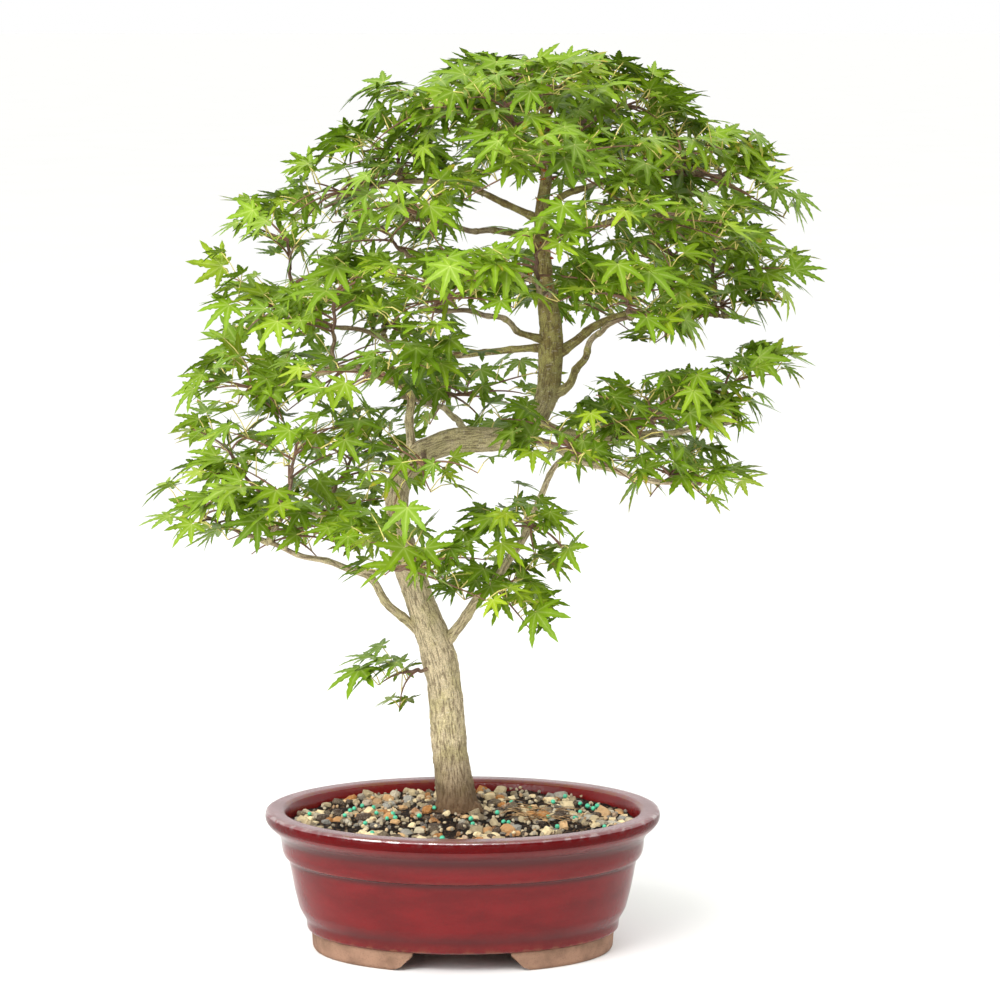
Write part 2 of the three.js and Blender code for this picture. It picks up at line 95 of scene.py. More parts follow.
# Branches: radius at the start and at the tip, then x, y, z along each one, in millimetres.
BRANCHES = {
    "low left": (3.2, 1.4, [
        [-18, 15, 196], [-38, 10, 213], [-52, 0, 231], [-63, -14, 247], [-83, -26, 255], [-103, -32, 262],
        [-121, -36, 270]]),
    "low right": (3.6, 1.5, [
        [-14, 15, 194], [3, 10, 215], [13, 0, 232], [24, -10, 247], [38, -16, 267], [49, -15, 295],
        [59, -10, 315], [75, -6, 324]]),
    "base left": (2.6, 1.3, [[-40, 10, 270], [-60, 25, 273], [-87, 45, 274], [-110, 60, 278]]),
    "elbow left": (3, 1.4, [
        [-33, 5, 315], [-33, 0, 340], [-34, -4, 360], [-52, -12, 373], [-76, -22, 378], [-104, -30, 371],
        [-129, -30, 362]]),
    "elbow back": (2.8, 1.3, [[5, -5, 331], [-1, 40, 335], [-15, 80, 342], [-42, 105, 346]]),
    "limb right": (3.2, 1.4, [
        [46, -4, 343], [65, -20, 337], [89, -36, 335], [117, -46, 339], [148, -44, 343], [172, -30, 346]]),
    "limb right low": (2.8, 1.3, [
        [37, -6, 336], [61, -36, 328], [92, -54, 318], [120, -58, 312], [149, -45, 308]]),
    "mid left high": (2.2, 1.2, [
        [54, 2, 392], [38, -10, 399], [29, -26, 407], [19, -44, 413], [-2, -70, 418], [-24, -88, 420]]),
    "mid left": (2.4, 1.2, [
        [55, 3, 388], [33, 14, 387], [17, 24, 383], [-8, 34, 382], [-40, 38, 388], [-72, 32, 398],
        [-104, 20, 402]]),
    "mid right": (3.2, 1.3, [
        [57, 2, 382], [70, 4, 391], [84, 8, 402], [103, 14, 408], [126, 20, 410], [152, 22, 408],
        [170, 18, 407]]),
    "mid right low": (2.8, 1.2, [
        [57, 0, 358], [67, -6, 366], [74, -16, 379], [81, -30, 395], [90, -48, 407], [104, -66, 414]]),
    "upper left low": (1.9, 1.1, [[53, 2, 427], [43, 12, 432], [24, 36, 434], [-2, 62, 435], [-28, 80, 437]]),
    "upper left": (2.4, 1.2, [[51, 1, 458], [32, -22, 463], [7, -50, 466], [-11, -72, 472], [-33, -86, 476]]),
    "upper right": (2.4, 1.2, [
        [51, 1, 454], [67, -16, 461], [86, -36, 469], [116, -58, 476], [138, -66, 476]]),
    "upper right high": (2.3, 1.2, [
        [51, 0, 474], [71, 12, 487], [100, 20, 495], [138, 22, 498], [166, 14, 496]]),
    "upper left high": (2.3, 1.2, [
        [51, 0, 468], [27, 8, 480], [5, 14, 488], [-27, 14, 494], [-61, 4, 489], [-86, -8, 478]]),
    "crown left": (1.8, 1, [[53, 0, 497], [36, -8, 516], [15, -14, 532], [-7, -16, 543]]),
    "crown right": (1.8, 1, [[54, 0, 511], [71, 6, 526], [93, 10, 538]]),
    "front low": (2, 1.1, [[54, 1, 418], [54, -30, 426], [52, -65, 429], [48, -95, 429]]),
    "front high": (1.8, 1, [[53, 0, 494], [54, -30, 503], [56, -60, 508], [57, -82, 509]]),
    "back low": (2.2, 1.1, [[56, 3, 406], [53, 40, 415], [55, 80, 417], [59, 112, 412]]),
    "back high": (1.8, 1, [[52, 0, 490], [50, 35, 501], [43, 70, 506], [38, 98, 506]]),
}

# Surface roots: radius at the start and at the end, then x, y, z down into the soil.
ROOTS = {
    "left": (6, 2.2, [[-6, 18, 90], [-17, 16, 85], [-34, 11, 76]]),
    "right": (5.5, 2.2, [[0, 18, 89], [11, 14, 84], [26, 9, 75]]),
    "front": (5, 2.2, [[-3, 16, 88], [-3, 6, 83], [2, -9, 73]]),
    "back": (5, 2, [[-5, 24, 88], [-10, 34, 82], [-20, 44, 73]]),
}


def tone(code):
    """A colour written as #rrggbb in linear values, with full opacity."""
    shares = [int(code[i:i + 2], 16) / 255 for i in (1, 3, 5)]
    return [s / 12.92 if s < 0.04045 else ((s + 0.055) / 1.055) ** 2.4 for s in shares] + [1.0]


def colour_setting(name, description, code):
    """A colour that the user can change."""
    return FloatVectorProperty(
        name=name, description=description, subtype="COLOR", size=4, min=0, max=1, default=tone(code))


def length_setting(name, description, millimetres):
    """A length that the user can change, in metres."""
    return FloatProperty(
        name=name, description=description, unit="LENGTH", precision=4, min=0, default=millimetres * MM)


class BonsaiPotSettings(bpy.types.PropertyGroup):
    rim_width: length_setting("Rim width", "Flat top face of the rim", 13)
    wall: length_setting("Wall", "Thickness of the glazed wall", 6.5)
    foot_height: length_setting("Foot height", "Height of the two unglazed feet", 12.5)
    foot_inset: length_setting("Foot inset", "How far the feet stand in from the rim's edge", 29)
    arch_top: length_setting("Arch width, top", "Gap between the feet where they meet the body", 62)
    arch_bottom: length_setting("Arch width, bottom", "Gap between the feet on the table", 89)
    drain_width: length_setting("Drain hole", "Diameter of each drain hole", 20)
    drain_spacing: length_setting("Drain spacing", "Distance between the drain holes", 96)
    glaze: colour_setting("Glaze", "Main colour of the glaze", "#6f1315")
    pooled: colour_setting("Pooled glaze", "Glaze that ran together in the hollow band", "#4a1a1a")
    # Lip glaze: its darker colour is painted shade, standing in for the dark room that the lip band reflects.
    lip: colour_setting("Lip glaze, painted shade", "Thick dark glaze round the lip", "#5a0205")
    # Rim glaze: its mauve is partly thin glaze and partly a painted reflection of the pale room on the rim's
    # top.
    rim: colour_setting("Rim glaze, thin, painted reflection", "Thin mauve glaze on top of the rim", "#7d4a4c")
    thin: colour_setting("Thin glaze", "Glaze that broke to brown over the edges", "#7a4a33")
    clay: colour_setting("Clay", "Unglazed foot ring", "#9a7862")


class BonsaiGravelSettings(bpy.types.PropertyGroup):
    spacing: length_setting("Stone spacing", "Distance from one stone to the next", 6.7)
    stone: length_setting("Stone size", "Typical width of a stone", 8)
    bead: length_setting("Bead size", "Width of a fertiliser bead", 3.2)
    beads: IntProperty(name="Beads", description="Number of fertiliser beads", default=36, min=0)
    stone_light: colour_setting("Light stone", "Cream and tan stones", "#ecd6a8")
    stone_dark: colour_setting("Dark stone", "Brown and grey stones", "#40342b")
    soil: colour_setting("Soil", "Grit and soil between the stones", "#1c110a")
    bead_colour: colour_setting("Bead", "Fertiliser beads", "#3f9f7c")


class BonsaiWoodSettings(bpy.types.PropertyGroup):
    relief: length_setting("Bark relief", "Depth of the furrows in the trunk's bark", 0.55)
    bark: colour_setting("Bark", "Pale bark of the trunk", "#e0cfa9")
    furrow: colour_setting("Furrows", "Dark lines in the bark", "#6b5842")
    algae: colour_setting("Algae", "Green film on the bark", "#a6a348")
    twig: colour_setting("Twigs", "Bark of the thinnest twigs", "#6d4a42")


class BonsaiLeafSettings(bpy.types.PropertyGroup):
    lobe: length_setting("Middle lobe", "Length of a grown leaf's middle lobe", 20.8)
    stalk: length_setting("Leaf stalk", "Typical length of a leaf stalk", 17)
    shoots: IntProperty(name="Shoots", description="Shoots in each spray", default=9, min=3)
    pairs: IntProperty(name="Leaf pairs", description="Pairs of leaves on each shoot", default=2, min=1)
    leaf: colour_setting("Leaf", "Grown leaves", "#729314")
    young: colour_setting("Young leaf", "Fresh leaves at the ends of the shoots", "#98ad20")
    # Painted shade: leaves deep inside the crown get this darker green, and random patches on each leaf lean
    # to it.
    shade_and_patch_green: colour_setting("Shaded leaf", "Older leaves inside the crown", "#3a5a06")
    rib: colour_setting("Ribs", "Middle rib of each lobe", "#b9c676")
    dry: colour_setting("Dry tip", "Tips that turned in the sun", "#b8863a")
    stalk_colour: colour_setting("Stalk", "Leaf stalks", "#ddd27c")


class BonsaiStageSettings(bpy.types.PropertyGroup):
    distance: length_setting("Distance", "Camera's distance in front of the pot", 2200)
    height: length_setting("Height", "Camera's height above the table", 600)
    across: length_setting("Across", "Camera's place to the right of the pot's middle", 24)
    pitch: FloatProperty(
        name="Pitch", description="Downward angle of the camera", subtype="ANGLE",
        default=math.radians(7.98))
    lens: FloatProperty(name="Lens", description="Focal length in millimetres", default=125.8, min=10)
    floor: colour_setting("Floor", "Pale floor", "#f2f2f0")


# ------------------------------------------------------------------------------ Shapes


def unit(rows):
    """Each row scaled to length one."""
    return rows / np.maximum(np.linalg.norm(rows, axis=-1, keepdims=True), 1e-12)


def mixed(a, b, share):
    """The point that lies a share of the way from a to b."""
    return a + (b - a) * share


def swell(height, low, high):
    """A smooth rise from 0 at low to 1 at high: three times the square of the share, less two cubes."""
    share = np.clip((height - low) / (high - low), 0, 1)
    return share * share * (3 - 2 * share)


def waves(points, size, seed):
    """A lumpy field near -1 to 1: the sum of five sine waves in random directions, each a little finer, over
    the root of five."""
    layers = 5
    rng = np.random.default_rng(SEEDS[seed])
    total = np.zeros(points.shape[:-1])
    for layer in range(layers):
        direction = unit(rng.normal(size=3))
        pitch = TAU / size * 1.35 ** layer
        shift = 0.9 * np.sin(points @ unit(rng.normal(size=3)) * pitch * 0.7)
        total += np.sin(points @ direction * pitch + shift + rng.uniform(0, TAU))
    return total / math.sqrt(layers)


def grid(rows, columns, wrap_rows=False):
    """Quads between each row of points and the next, all the way round each row."""
    row = np.arange(rows if wrap_rows else rows - 1)
    i, j = (part.ravel() for part in np.meshgrid(row, np.arange(columns), indexing="ij"))
    below, right = (i + 1) % rows, (j + 1) % columns
    corners = [i * columns + j, i * columns + right, below * columns + right, below * columns + j]
    return np.stack(corners, axis=1)


def bowed(start, knee, end, share):
    """The point at a share of the way along a parabola that leaves the start towards the knee and comes to
    the end from it: a quadratic Bezier curve."""
    return (1 - share) ** 2 * start + 2 * share * (1 - share) * knee + share ** 2 * end


def raised(flat, height):
    """Rows of points from their places on the table and the height of each."""
    return np.concatenate([flat, np.broadcast_to(height, flat.shape[:-1])[..., None]], axis=-1)


def outward(points, faces):
    """The faces turned so that the volume they enclose is positive."""
    total = 0.0
    for group in faces:
        for k in range(1, group.shape[1] - 1):
            a, b, c = points[group[:, 0]], points[group[:, k]], points[group[:, k + 1]]
            total += np.einsum("ij,ij->", a, np.cross(b, c))
    return faces if total > 0 else [group[:, ::-1] for group in faces]


def join(parts):
    """Several (points, faces) shapes as one."""
    first, points, faces = 0, [], []
    for part_points, part_faces in parts:
        points.append(part_points)
        faces += [group + first for group in part_faces]
        first += len(part_points)
    return np.concatenate(points), faces


def make_piece(name, points, faces, materials, smooth=True, fields=None, finish=None):
    """A mesh object whose place is in its mesh. Fields are values per point, finish a material per face."""
    mesh = bpy.data.meshes.new(name)
    corners = np.concatenate([group.ravel() for group in faces]).astype(np.int32)
    sizes = np.concatenate([np.full(len(group), group.shape[1]) for group in faces])
    starts = np.concatenate([[0], np.cumsum(sizes)[:-1]]).astype(np.int32)
    mesh.vertices.add(len(points))
    mesh.vertices.foreach_set("co", np.asarray(points, np.float32).ravel())
    mesh.loops.add(len(corners))
    mesh.loops.foreach_set("vertex_index", corners)
    mesh.polygons.add(len(starts))
    mesh.polygons.foreach_set("loop_start", starts)
    shaded = np.broadcast_to(np.asarray(smooth, bool), len(starts))
    mesh.polygons.foreach_set("use_smooth", np.ascontiguousarray(shaded))
    if finish is not None:
        mesh.polygons.foreach_set("material_index", np.asarray(finish, np.int32))
    for key, values in (fields or {}).items():
        values = np.asarray(values, np.float32)
        kind, slot = ("FLOAT", "value") if values.ndim == 1 else ("FLOAT_VECTOR", "vector")
        mesh.attributes.new(key, kind, "POINT").data.foreach_set(slot, values.ravel())
    for material in materials:
        mesh.materials.append(material)
    mesh.update(calc_edges=True)
    if mesh.validate():
        raise RuntimeError(name + " has faces that don't fit together")
    piece = bpy.data.objects.new(name, mesh)
    bpy.context.scene.collection.objects.link(piece)
    return piece


def smooth_route(points, count):
    """Points evenly spaced along a smooth curve: a cubic through each pair, steered by the points beside
    it."""
    p = np.asarray(points, float)
    p = np.concatenate([[2 * p[0] - p[1]], p, [2 * p[-1] - p[-2]]])
    share = np.linspace(0, len(p) - 3, 40 * (len(p) - 3) + 1)
    i = np.minimum(share.astype(int), len(p) - 4)
    t = (share - i)[:, None]
    a, b, c, d = p[i], p[i + 1], p[i + 2], p[i + 3]
    square, cube = a - 2.5 * b + 2 * c - d / 2, 1.5 * (b - c) + (d - a) / 2
    curve = b + t * (c - a) / 2 + t ** 2 * square + t ** 3 * cube
    length = np.concatenate([[0], np.cumsum(np.linalg.norm(np.diff(curve[:, :3], axis=0), axis=1))])
    wanted = np.linspace(0, length[-1], count)
    return np.stack([np.interp(wanted, length, curve[:, k]) for k in range(p.shape[1])], axis=1)


def tubes(paths, radii, sides, relief=None):
    """Many tubes at once, each a ring carried along its path: the middle plus the radius times the cosine
    of the turn along one side direction and its sine along the other, closed by a point at each end.
    Paths are tubes x rings x 3 and radii tubes x rings. Returns points, faces, turn and length along."""
    count, rings = radii.shape
    tangent = unit(np.gradient(paths, axis=1))
    steady = np.eye(3)[np.argmin(np.abs(tangent).max(axis=1), axis=1)][:, None, :]
    side = unit(np.cross(tangent, steady))
    other = np.cross(tangent, side)
    turn = np.arange(sides) * TAU / sides
    along = np.cumsum(np.linalg.norm(np.diff(paths, axis=1, prepend=paths[:, :1]), axis=2), axis=1)
    reach = np.repeat(radii[:, :, None], sides, axis=2)
    if relief is not None:
        reach = reach + relief(turn[None, None, :], along[:, :, None], radii[:, :, None])
    ring = side[:, :, None] * np.cos(turn)[:, None] + other[:, :, None] * np.sin(turn)[:, None]
    skin = (paths[:, :, None] + reach[..., None] * ring).reshape(count, rings * sides, 3)
    ends = np.stack([paths[:, 0] - tangent[:, 0] * radii[:, :1] * 0.5,
                     paths[:, -1] + tangent[:, -1] * radii[:, -1:] * 0.5], axis=1)
    points = np.concatenate([skin, ends], axis=1)
    first = (np.arange(count) * (rings * sides + 2))[:, None, None]
    walls = (grid(rings, sides)[None] + first).reshape(-1, 4)
    j = np.arange(sides)
    k = (j + 1) % sides
    pole, last = np.full(sides, rings * sides), (rings - 1) * sides
    low = np.stack([pole, k, j], axis=1)
    high = np.stack([pole + 1, j + last, k + last], axis=1)
    caps = (np.concatenate([low, high])[None] + first).reshape(-1, 3)
    faces = outward(points.reshape(-1, 3), [walls, caps])
    grain = np.concatenate([
        np.stack(np.broadcast_arrays(
            radii[:, :, None] * np.cos(turn), radii[:, :, None] * np.sin(turn), along[:, :, None]), axis=3
        ).reshape(count, rings * sides, 3),
        np.stack([0 * along[:, [0, -1]], 0 * along[:, [0, -1]], along[:, [0, -1]]], axis=2)], axis=1)
    thick = np.concatenate([np.repeat(radii, sides, axis=1), radii[:, [0, -1]]], axis=1)
    return points.reshape(-1, 3), faces, grain.reshape(-1, 3), thick.ravel()


def eased(profile, reach, samples=4):
    """A closed outline whose corners are curves: each starts and ends within reach of its corner."""
    corner = np.asarray(profile, float)
    ends = []
    for step in (1, -1):
        way = np.roll(corner, step, axis=0) - corner
        ends.append(corner + way * np.minimum(0.42, reach / np.linalg.norm(way, axis=1))[:, None])
    share = np.linspace(0, 1, samples)[None, :, None]
    return bowed(ends[0][:, None], corner[:, None], ends[1][:, None], share).reshape(-1, 2)


# ------------------------------------------------------------------------------ Materials


def put(tree, kind, inputs=None, **settings):
    """Adds a node with its settings, and with a value or a link for each input."""
    made = tree.nodes.new(kind)
    for key, value in settings.items():
        setattr(made, key, value)
    for key, value in (inputs or {}).items():
        if isinstance(value, bpy.types.NodeSocket):
            tree.links.new(value, made.inputs[key])
        else:
            made.inputs[key].default_value = value
    return made


def blended(tree, mask, low, high):
    """A colour that goes from low to high with the mask."""
    return put(tree, "ShaderNodeMix", {0: mask, 6: low, 7: high}, data_type="RGBA").outputs[2]


def sum_of(tree, kind, a, b):
    """A Math node on two values."""
    return put(tree, "ShaderNodeMath", {0: a, 1: b}, operation=kind).outputs[0]


def stained(tree, colour, mask, share, stain):
    """A colour that goes towards the stain with the mask times a share."""
    return blended(tree, sum_of(tree, "MULTIPLY", mask, share), colour, stain)


def scaled(colour, share):
    """A colour made darker or lighter by a share."""
    return [min(1, channel * share) for channel in colour[:3]] + [1]


def attribute(tree, name, output="Fac"):
    """A value or vector stored on the piece's points."""
    return put(tree, "ShaderNodeAttribute", attribute_name=name).outputs[output]


def object_place(tree):
    """The Object coordinates."""
    return put(tree, "ShaderNodeTexCoord").outputs["Object"]


def new_group(name, inputs, output):
    """An empty node group with float or vector inputs, and its input and output nodes."""
    group = bpy.data.node_groups.new(name, "ShaderNodeTree")
    for key, value in inputs.items():
        kind = "NodeSocketVector" if value is None else "NodeSocketFloat"
        made = group.interface.new_socket(name=key, in_out="INPUT", socket_type=kind)
        if value is not None:
            made.default_value = value
    group.interface.new_socket(name=output, in_out="OUTPUT", socket_type="NodeSocketFloat")
    return group, group.nodes.new("NodeGroupInput").outputs, group.nodes.new("NodeGroupOutput").inputs


def mottle_group():
    """Soft patches: noise of a given size, stretched so that it runs from 0 at Low to 1 at High."""
    group, given, out = new_group("Mottle", {"Vector": None, "Size": 100, "Low": 0.35, "High": 0.65}, "Mask")
    noise = put(group, "ShaderNodeTexNoise", {"Vector": given["Vector"], "Scale": given["Size"], "Detail": 5,
                                              "Roughness": 0.6})
    ranged = put(group, "ShaderNodeMapRange", {"Value": noise.outputs["Fac"], "From Min": given["Low"],
                                               "From Max": given["High"]}, interpolation_type="SMOOTHSTEP")
    group.links.new(ranged.outputs["Result"], out["Mask"])
    return group


def speckle_group():
    """Small dots: the middles of random cells, within a given share of the cell."""
    group, given, out = new_group("Speckle", {"Vector": None, "Size": 800, "Reach": 0.3}, "Mask")
    cells = put(group, "ShaderNodeTexVoronoi", {"Vector": given["Vector"], "Scale": given["Size"]})
    ranged = put(group, "ShaderNodeMapRange", {
        "Value": cells.outputs["Distance"], "From Min": given["Reach"],
        "From Max": sum_of(group, "MULTIPLY", given["Reach"], 0.5)}, interpolation_type="SMOOTHSTEP")
    group.links.new(ranged.outputs["Result"], out["Mask"])
    return group


def grouped(tree, name, **inputs):
    """Places a shared node group in a material."""
    named = {key.capitalize(): value for key, value in inputs.items()}
    made = tree.nodes.new("ShaderNodeGroup")
    made.node_tree = bpy.data.node_groups[name]
    for key, value in named.items():
        if isinstance(value, bpy.types.NodeSocket):
            tree.links.new(value, made.inputs[key])
        else:
            made.inputs[key].default_value = value
    return made.outputs[0]


def new_material(name, **values):
    """A material with one Principled shader, whose plain values are set on its sockets."""
    made = bpy.data.materials.new(name)
    made.use_nodes = True
    shader = made.node_tree.nodes["Principled BSDF"]
    for key, value in values.items():
        shader.inputs[key.replace("_", " ").title().replace("Ior", "IOR")].default_value = value
    return made, made.node_tree, shader


def finished(tree, shader, colour, mask, low, high):
    """Gives the shader its colour, and a roughness that goes from low to high with the mask."""
    ranged = put(tree, "ShaderNodeMapRange", {"Value": mask, "To Min": low, "To Max": high})
    tree.links.new(colour, shader.inputs["Base Color"])
    tree.links.new(ranged.outputs["Result"], shader.inputs["Roughness"])


def bump(tree, shader, height, depth, strength):
    """Bump from a height mask, with its depth in millimetres."""
    made = put(tree, "ShaderNodeBump", {"Height": height, "Strength": strength, "Distance": depth * MM})
    tree.links.new(made.outputs["Normal"], shader.inputs["Normal"])


def skinned(tree, shader, place, scale, detail, depth, strength):
    """A fine uneven skin: bump from noise."""
    noise = put(tree, "ShaderNodeTexNoise", {"Vector": place, "Scale": scale, "Detail": detail})
    bump(tree, shader, noise.outputs["Fac"], depth, strength)


def dress(node, material):
    """Gives a CAD node its material."""
    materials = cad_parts[node].data.materials
    materials.clear()
    materials.append(material)


def glaze_material(settings, name, colour, shine, dimples):
    """Red glaze: darker where it pooled, brown where it broke thin over an edge, with a fine dimpled skin and
    a broken glint along the lip."""
    made, tree, shader = new_material(name, specular_ior_level=shine, coat_roughness=0.08, coat_ior=2.6)
    place = object_place(tree)
    bands = put(tree, "ShaderNodeMapping", {"Vector": place, "Scale": (1, 1, 2.6)}).outputs["Vector"]
    drift = grouped(tree, "Mottle", vector=bands, size=30, low=0.3, high=0.7)
    fleck = grouped(tree, "Speckle", vector=place, size=620, reach=0.34)
    broken = grouped(tree, "Mottle", vector=place, size=170, low=0.42, high=0.6)
    body = blended(tree, drift, colour, scaled(colour, 0.7))
    body = stained(tree, body, fleck, 0.28, settings.pooled)
    body = blended(tree, attribute(tree, "pooled"), body, settings.pooled)
    body = stained(tree, body, attribute(tree, "worn"), broken, settings.thin)
    finished(tree, shader, body, drift, 0.1, 0.24)
    glint = sum_of(tree, "MULTIPLY", attribute(tree, "glint"), broken)
    tree.links.new(glint, shader.inputs["Coat Weight"])
    skinned(tree, shader, place, 640, 3, 0.4, dimples)
    return made


def clay_material(settings):
    """Bare clay: soft patches, dark specks and a sandy skin."""
    made, tree, shader = new_material("Bare clay", specular_ior_level=0.25)
    place = object_place(tree)
    patch = grouped(tree, "Mottle", vector=place, size=60, low=0.3, high=0.7)
    speck = grouped(tree, "Speckle", vector=place, size=900, reach=0.28)
    colour = blended(tree, patch, settings.clay, scaled(settings.clay, 0.62))
    colour = stained(tree, colour, speck, 0.5, tone("#4b352a"))
    finished(tree, shader, colour, patch, 0.75, 0.92)
    skinned(tree, shader, place, 1400, 2, 0.3, 0.5)
    return made


def soil_material(settings):
    """Dark soil: crumbs of several browns, lumpy, matt."""
    made, tree, shader = new_material("Soil", specular_ior_level=0.2)
    place = object_place(tree)
    crumb = grouped(tree, "Speckle", vector=place, size=420, reach=0.45)
    patch = grouped(tree, "Mottle", vector=place, size=160, low=0.35, high=0.65)
    colour = blended(tree, patch, settings.soil, scaled(settings.soil, 0.4))
    colour = stained(tree, colour, crumb, 0.6, tone("#6b5138"))
    finished(tree, shader, colour, patch, 0.8, 0.97)
    skinned(tree, shader, place, 500, 5, 1.6, 1.0)
    return made


def screen_material():
    """Black plastic mesh, slightly dusty."""
    made, tree, shader = new_material("Drain screen plastic", specular_ior_level=0.4)
    place = object_place(tree)
    dust = grouped(tree, "Mottle", vector=place, size=220, low=0.4, high=0.7)
    finished(tree, shader, blended(tree, dust, tone("#1b1d1a"), tone("#3a352c")), dust, 0.45, 0.8)
    skinned(tree, shader, place, 1800, 2, 0.1, 0.4)
    return made


def stone_material(settings):
    """Stones: each has its own place between dark and light, its own share of rust and of grey, with specks
    and a rough skin."""
    made, tree, shader = new_material("Stone", specular_ior_level=0.3)
    place = object_place(tree)
    light, rust, grey = put(tree, "ShaderNodeSeparateXYZ", {0: attribute(tree, "hue", "Vector")}).outputs
    patch = grouped(tree, "Mottle", vector=place, size=380, low=0.3, high=0.7)
    speck = grouped(tree, "Speckle", vector=place, size=1500, reach=0.3)
    colour = blended(tree, light, settings.stone_dark, settings.stone_light)
    colour = blended(tree, rust, colour, tone("#c4823c"))
    colour = blended(tree, grey, colour, tone("#9a9a94"))
    colour = stained(tree, colour, patch, 0.3, tone("#5a4632"))
    colour = stained(tree, colour, speck, 0.4, tone("#efe3c8"))
    finished(tree, shader, colour, patch, 0.72, 0.95)
    skinned(tree, shader, place, 1100, 4, 0.45, 0.8)
    return made


def bead_material(settings):
    """Green fertiliser beads: waxy, with pale patches."""
    made, tree, shader = new_material("Fertiliser bead", specular_ior_level=0.5)
    patch = grouped(tree, "Mottle", vector=object_place(tree), size=520, low=0.35, high=0.65)
    colour = blended(tree, patch, settings.bead_colour, scaled(settings.bead_colour, 1.7))
    finished(tree, shader, colour, patch, 0.35, 0.55)
    return made


def bark_material(settings):
    """Bark: pale, with long furrows that follow the wood, short cross marks, a green film, brown blotches
    where it is mossy, and dark specks. It is darker towards the foot, near the soil, and a little darker
    in the crown, which is painted shade under the leaves; thin wood turns to the twigs' brown."""
    made, tree, shader = new_material("Bark", specular_ior_level=0.22)
    grain = attribute(tree, "grain", "Vector")
    place = object_place(tree)
    stretched = put(tree, "ShaderNodeMapping", {"Vector": grain, "Scale": (1, 1, 0.16)}).outputs["Vector"]
    squashed = put(tree, "ShaderNodeMapping", {"Vector": grain, "Scale": (0.35, 0.35, 1)}).outputs["Vector"]
    furrow = grouped(tree, "Mottle", vector=stretched, size=980, low=0.5, high=0.62)
    fine = grouped(tree, "Mottle", vector=grain, size=1500, low=0.42, high=0.62)
    mark = grouped(tree, "Mottle", vector=squashed, size=900, low=0.58, high=0.66)
    speck = grouped(tree, "Speckle", vector=grain, size=900, reach=0.22)
    mossy = attribute(tree, "mossy")
    blotch = grouped(tree, "Mottle", vector=place, size=170, low=0.44, high=0.6)
    blotch = sum_of(tree, "MULTIPLY", blotch, mossy)
    film = grouped(tree, "Mottle", vector=place, size=46, low=0.42, high=0.62)
    film = sum_of(tree, "MAXIMUM", sum_of(tree, "MULTIPLY", film, 0.34), mossy)
    colour = blended(tree, film, settings.bark, settings.algae)
    colour = stained(tree, colour, blotch, 0.75, tone("#6b4f2c"))
    colour = stained(tree, colour, fine, 0.42, settings.furrow)
    colour = stained(tree, colour, furrow, 0.66, settings.furrow)
    colour = stained(tree, colour, mark, 0.5, tone("#d9ceb4"))
    colour = stained(tree, colour, speck, 0.55, tone("#4a3626"))
    # Darker towards the foot, and painted shade on the wood inside the crown.
    colour = blended(tree, attribute(tree, "dark_foot_and_shade"), colour, tone("#5c4029"))
    colour = blended(tree, attribute(tree, "thin"), colour, settings.twig)
    finished(tree, shader, colour, film, 0.82, 0.68)
    relief = sum_of(tree, "SUBTRACT", sum_of(tree, "MULTIPLY", fine, -0.4), furrow)
    bump(tree, shader, relief, 0.5, 0.9)
    return made


def leaf_material(settings):
    """Leaves: each has its own green, paler ribs and some dry tips."""
    made, tree, shader = new_material("Maple leaf", specular_ior_level=0.18)
    place = object_place(tree)
    lit, young, dry = put(tree, "ShaderNodeSeparateXYZ", {0: attribute(tree, "look", "Vector")}).outputs
    patch = grouped(tree, "Mottle", vector=place, size=120, low=0.3, high=0.7)
    ragged = grouped(tree, "Mottle", vector=place, size=300, low=0.3, high=0.6)
    rib = sum_of(tree, "POWER", attribute(tree, "rib"), 5.0)
    # Painted shade: the less lit leaves, deeper in the crown, go to the darker green.
    colour = blended(tree, lit, settings.shade_and_patch_green, settings.leaf)
    colour = blended(tree, young, colour, settings.young)
    colour = stained(tree, colour, patch, 0.25, settings.shade_and_patch_green)
    colour = stained(tree, colour, rib, 0.35, settings.rib)
    colour = stained(tree, colour, dry, ragged, settings.dry)
    finished(tree, shader, colour, patch, 0.36, 0.56)
    skinned(tree, shader, place, 900, 3, 0.25, 0.5)
    return made


def stalk_material(settings):
    """Leaf stalks and green shoots: pale stalks, flushed red in patches, on browner shoots."""
    made, tree, shader = new_material("Leaf stalk", specular_ior_level=0.35)
    flush = grouped(tree, "Mottle", vector=object_place(tree), size=90, low=0.4, high=0.65)
    colour = stained(tree, settings.stalk_colour, flush, 0.22, tone("#a8623c"))
    colour = blended(tree, attribute(tree, "rib"), tone("#7b5a45"), colour)
    finished(tree, shader, colour, flush, 0.45, 0.65)
    return made


def root_material():
    """Fine feeding roots: straw coloured."""
    made, tree, shader = new_material("Fine roots", specular_ior_level=0.2)
    patch = grouped(tree, "Mottle", vector=object_place(tree), size=300, low=0.35, high=0.65)
    finished(tree, shader, blended(tree, patch, tone("#b3946a"), tone("#6a4c31")), patch, 0.7, 0.9)
    return made


def bud_scale_material():
    """Dry bud scales: red brown to straw, matt."""
    made, tree, shader = new_material("Bud scales", specular_ior_level=0.2)
    patch = grouped(tree, "Mottle", vector=object_place(tree), size=260, low=0.38, high=0.62)
    finished(tree, shader, blended(tree, patch, tone("#7c2f1c"), tone("#b5703c")), patch, 0.6, 0.85)
    return made


# ------------------------------------------------------------------------------ Pot


POT_HALF = float(POT_HIGH[0])
POT_TOP = float(POT_HIGH[2])
OVAL = POT_HALF - float(POT_HIGH[1])

# The floor: half the length at which the ring ends, how far the slab laps under it, and its top's height, in
# millimetres.
FLOOR_START = 70
FLOOR_LAP = 2
FLOOR_TOP = 20.3

# Faces of the pot that have the lip's and the rim's glaze: how far below the top, in millimetres, and from
# what share of the half length.
# The lip's glaze is darker as painted shade, for the dark room that the lip band reflects.
LIP = (7.5, 0.95)
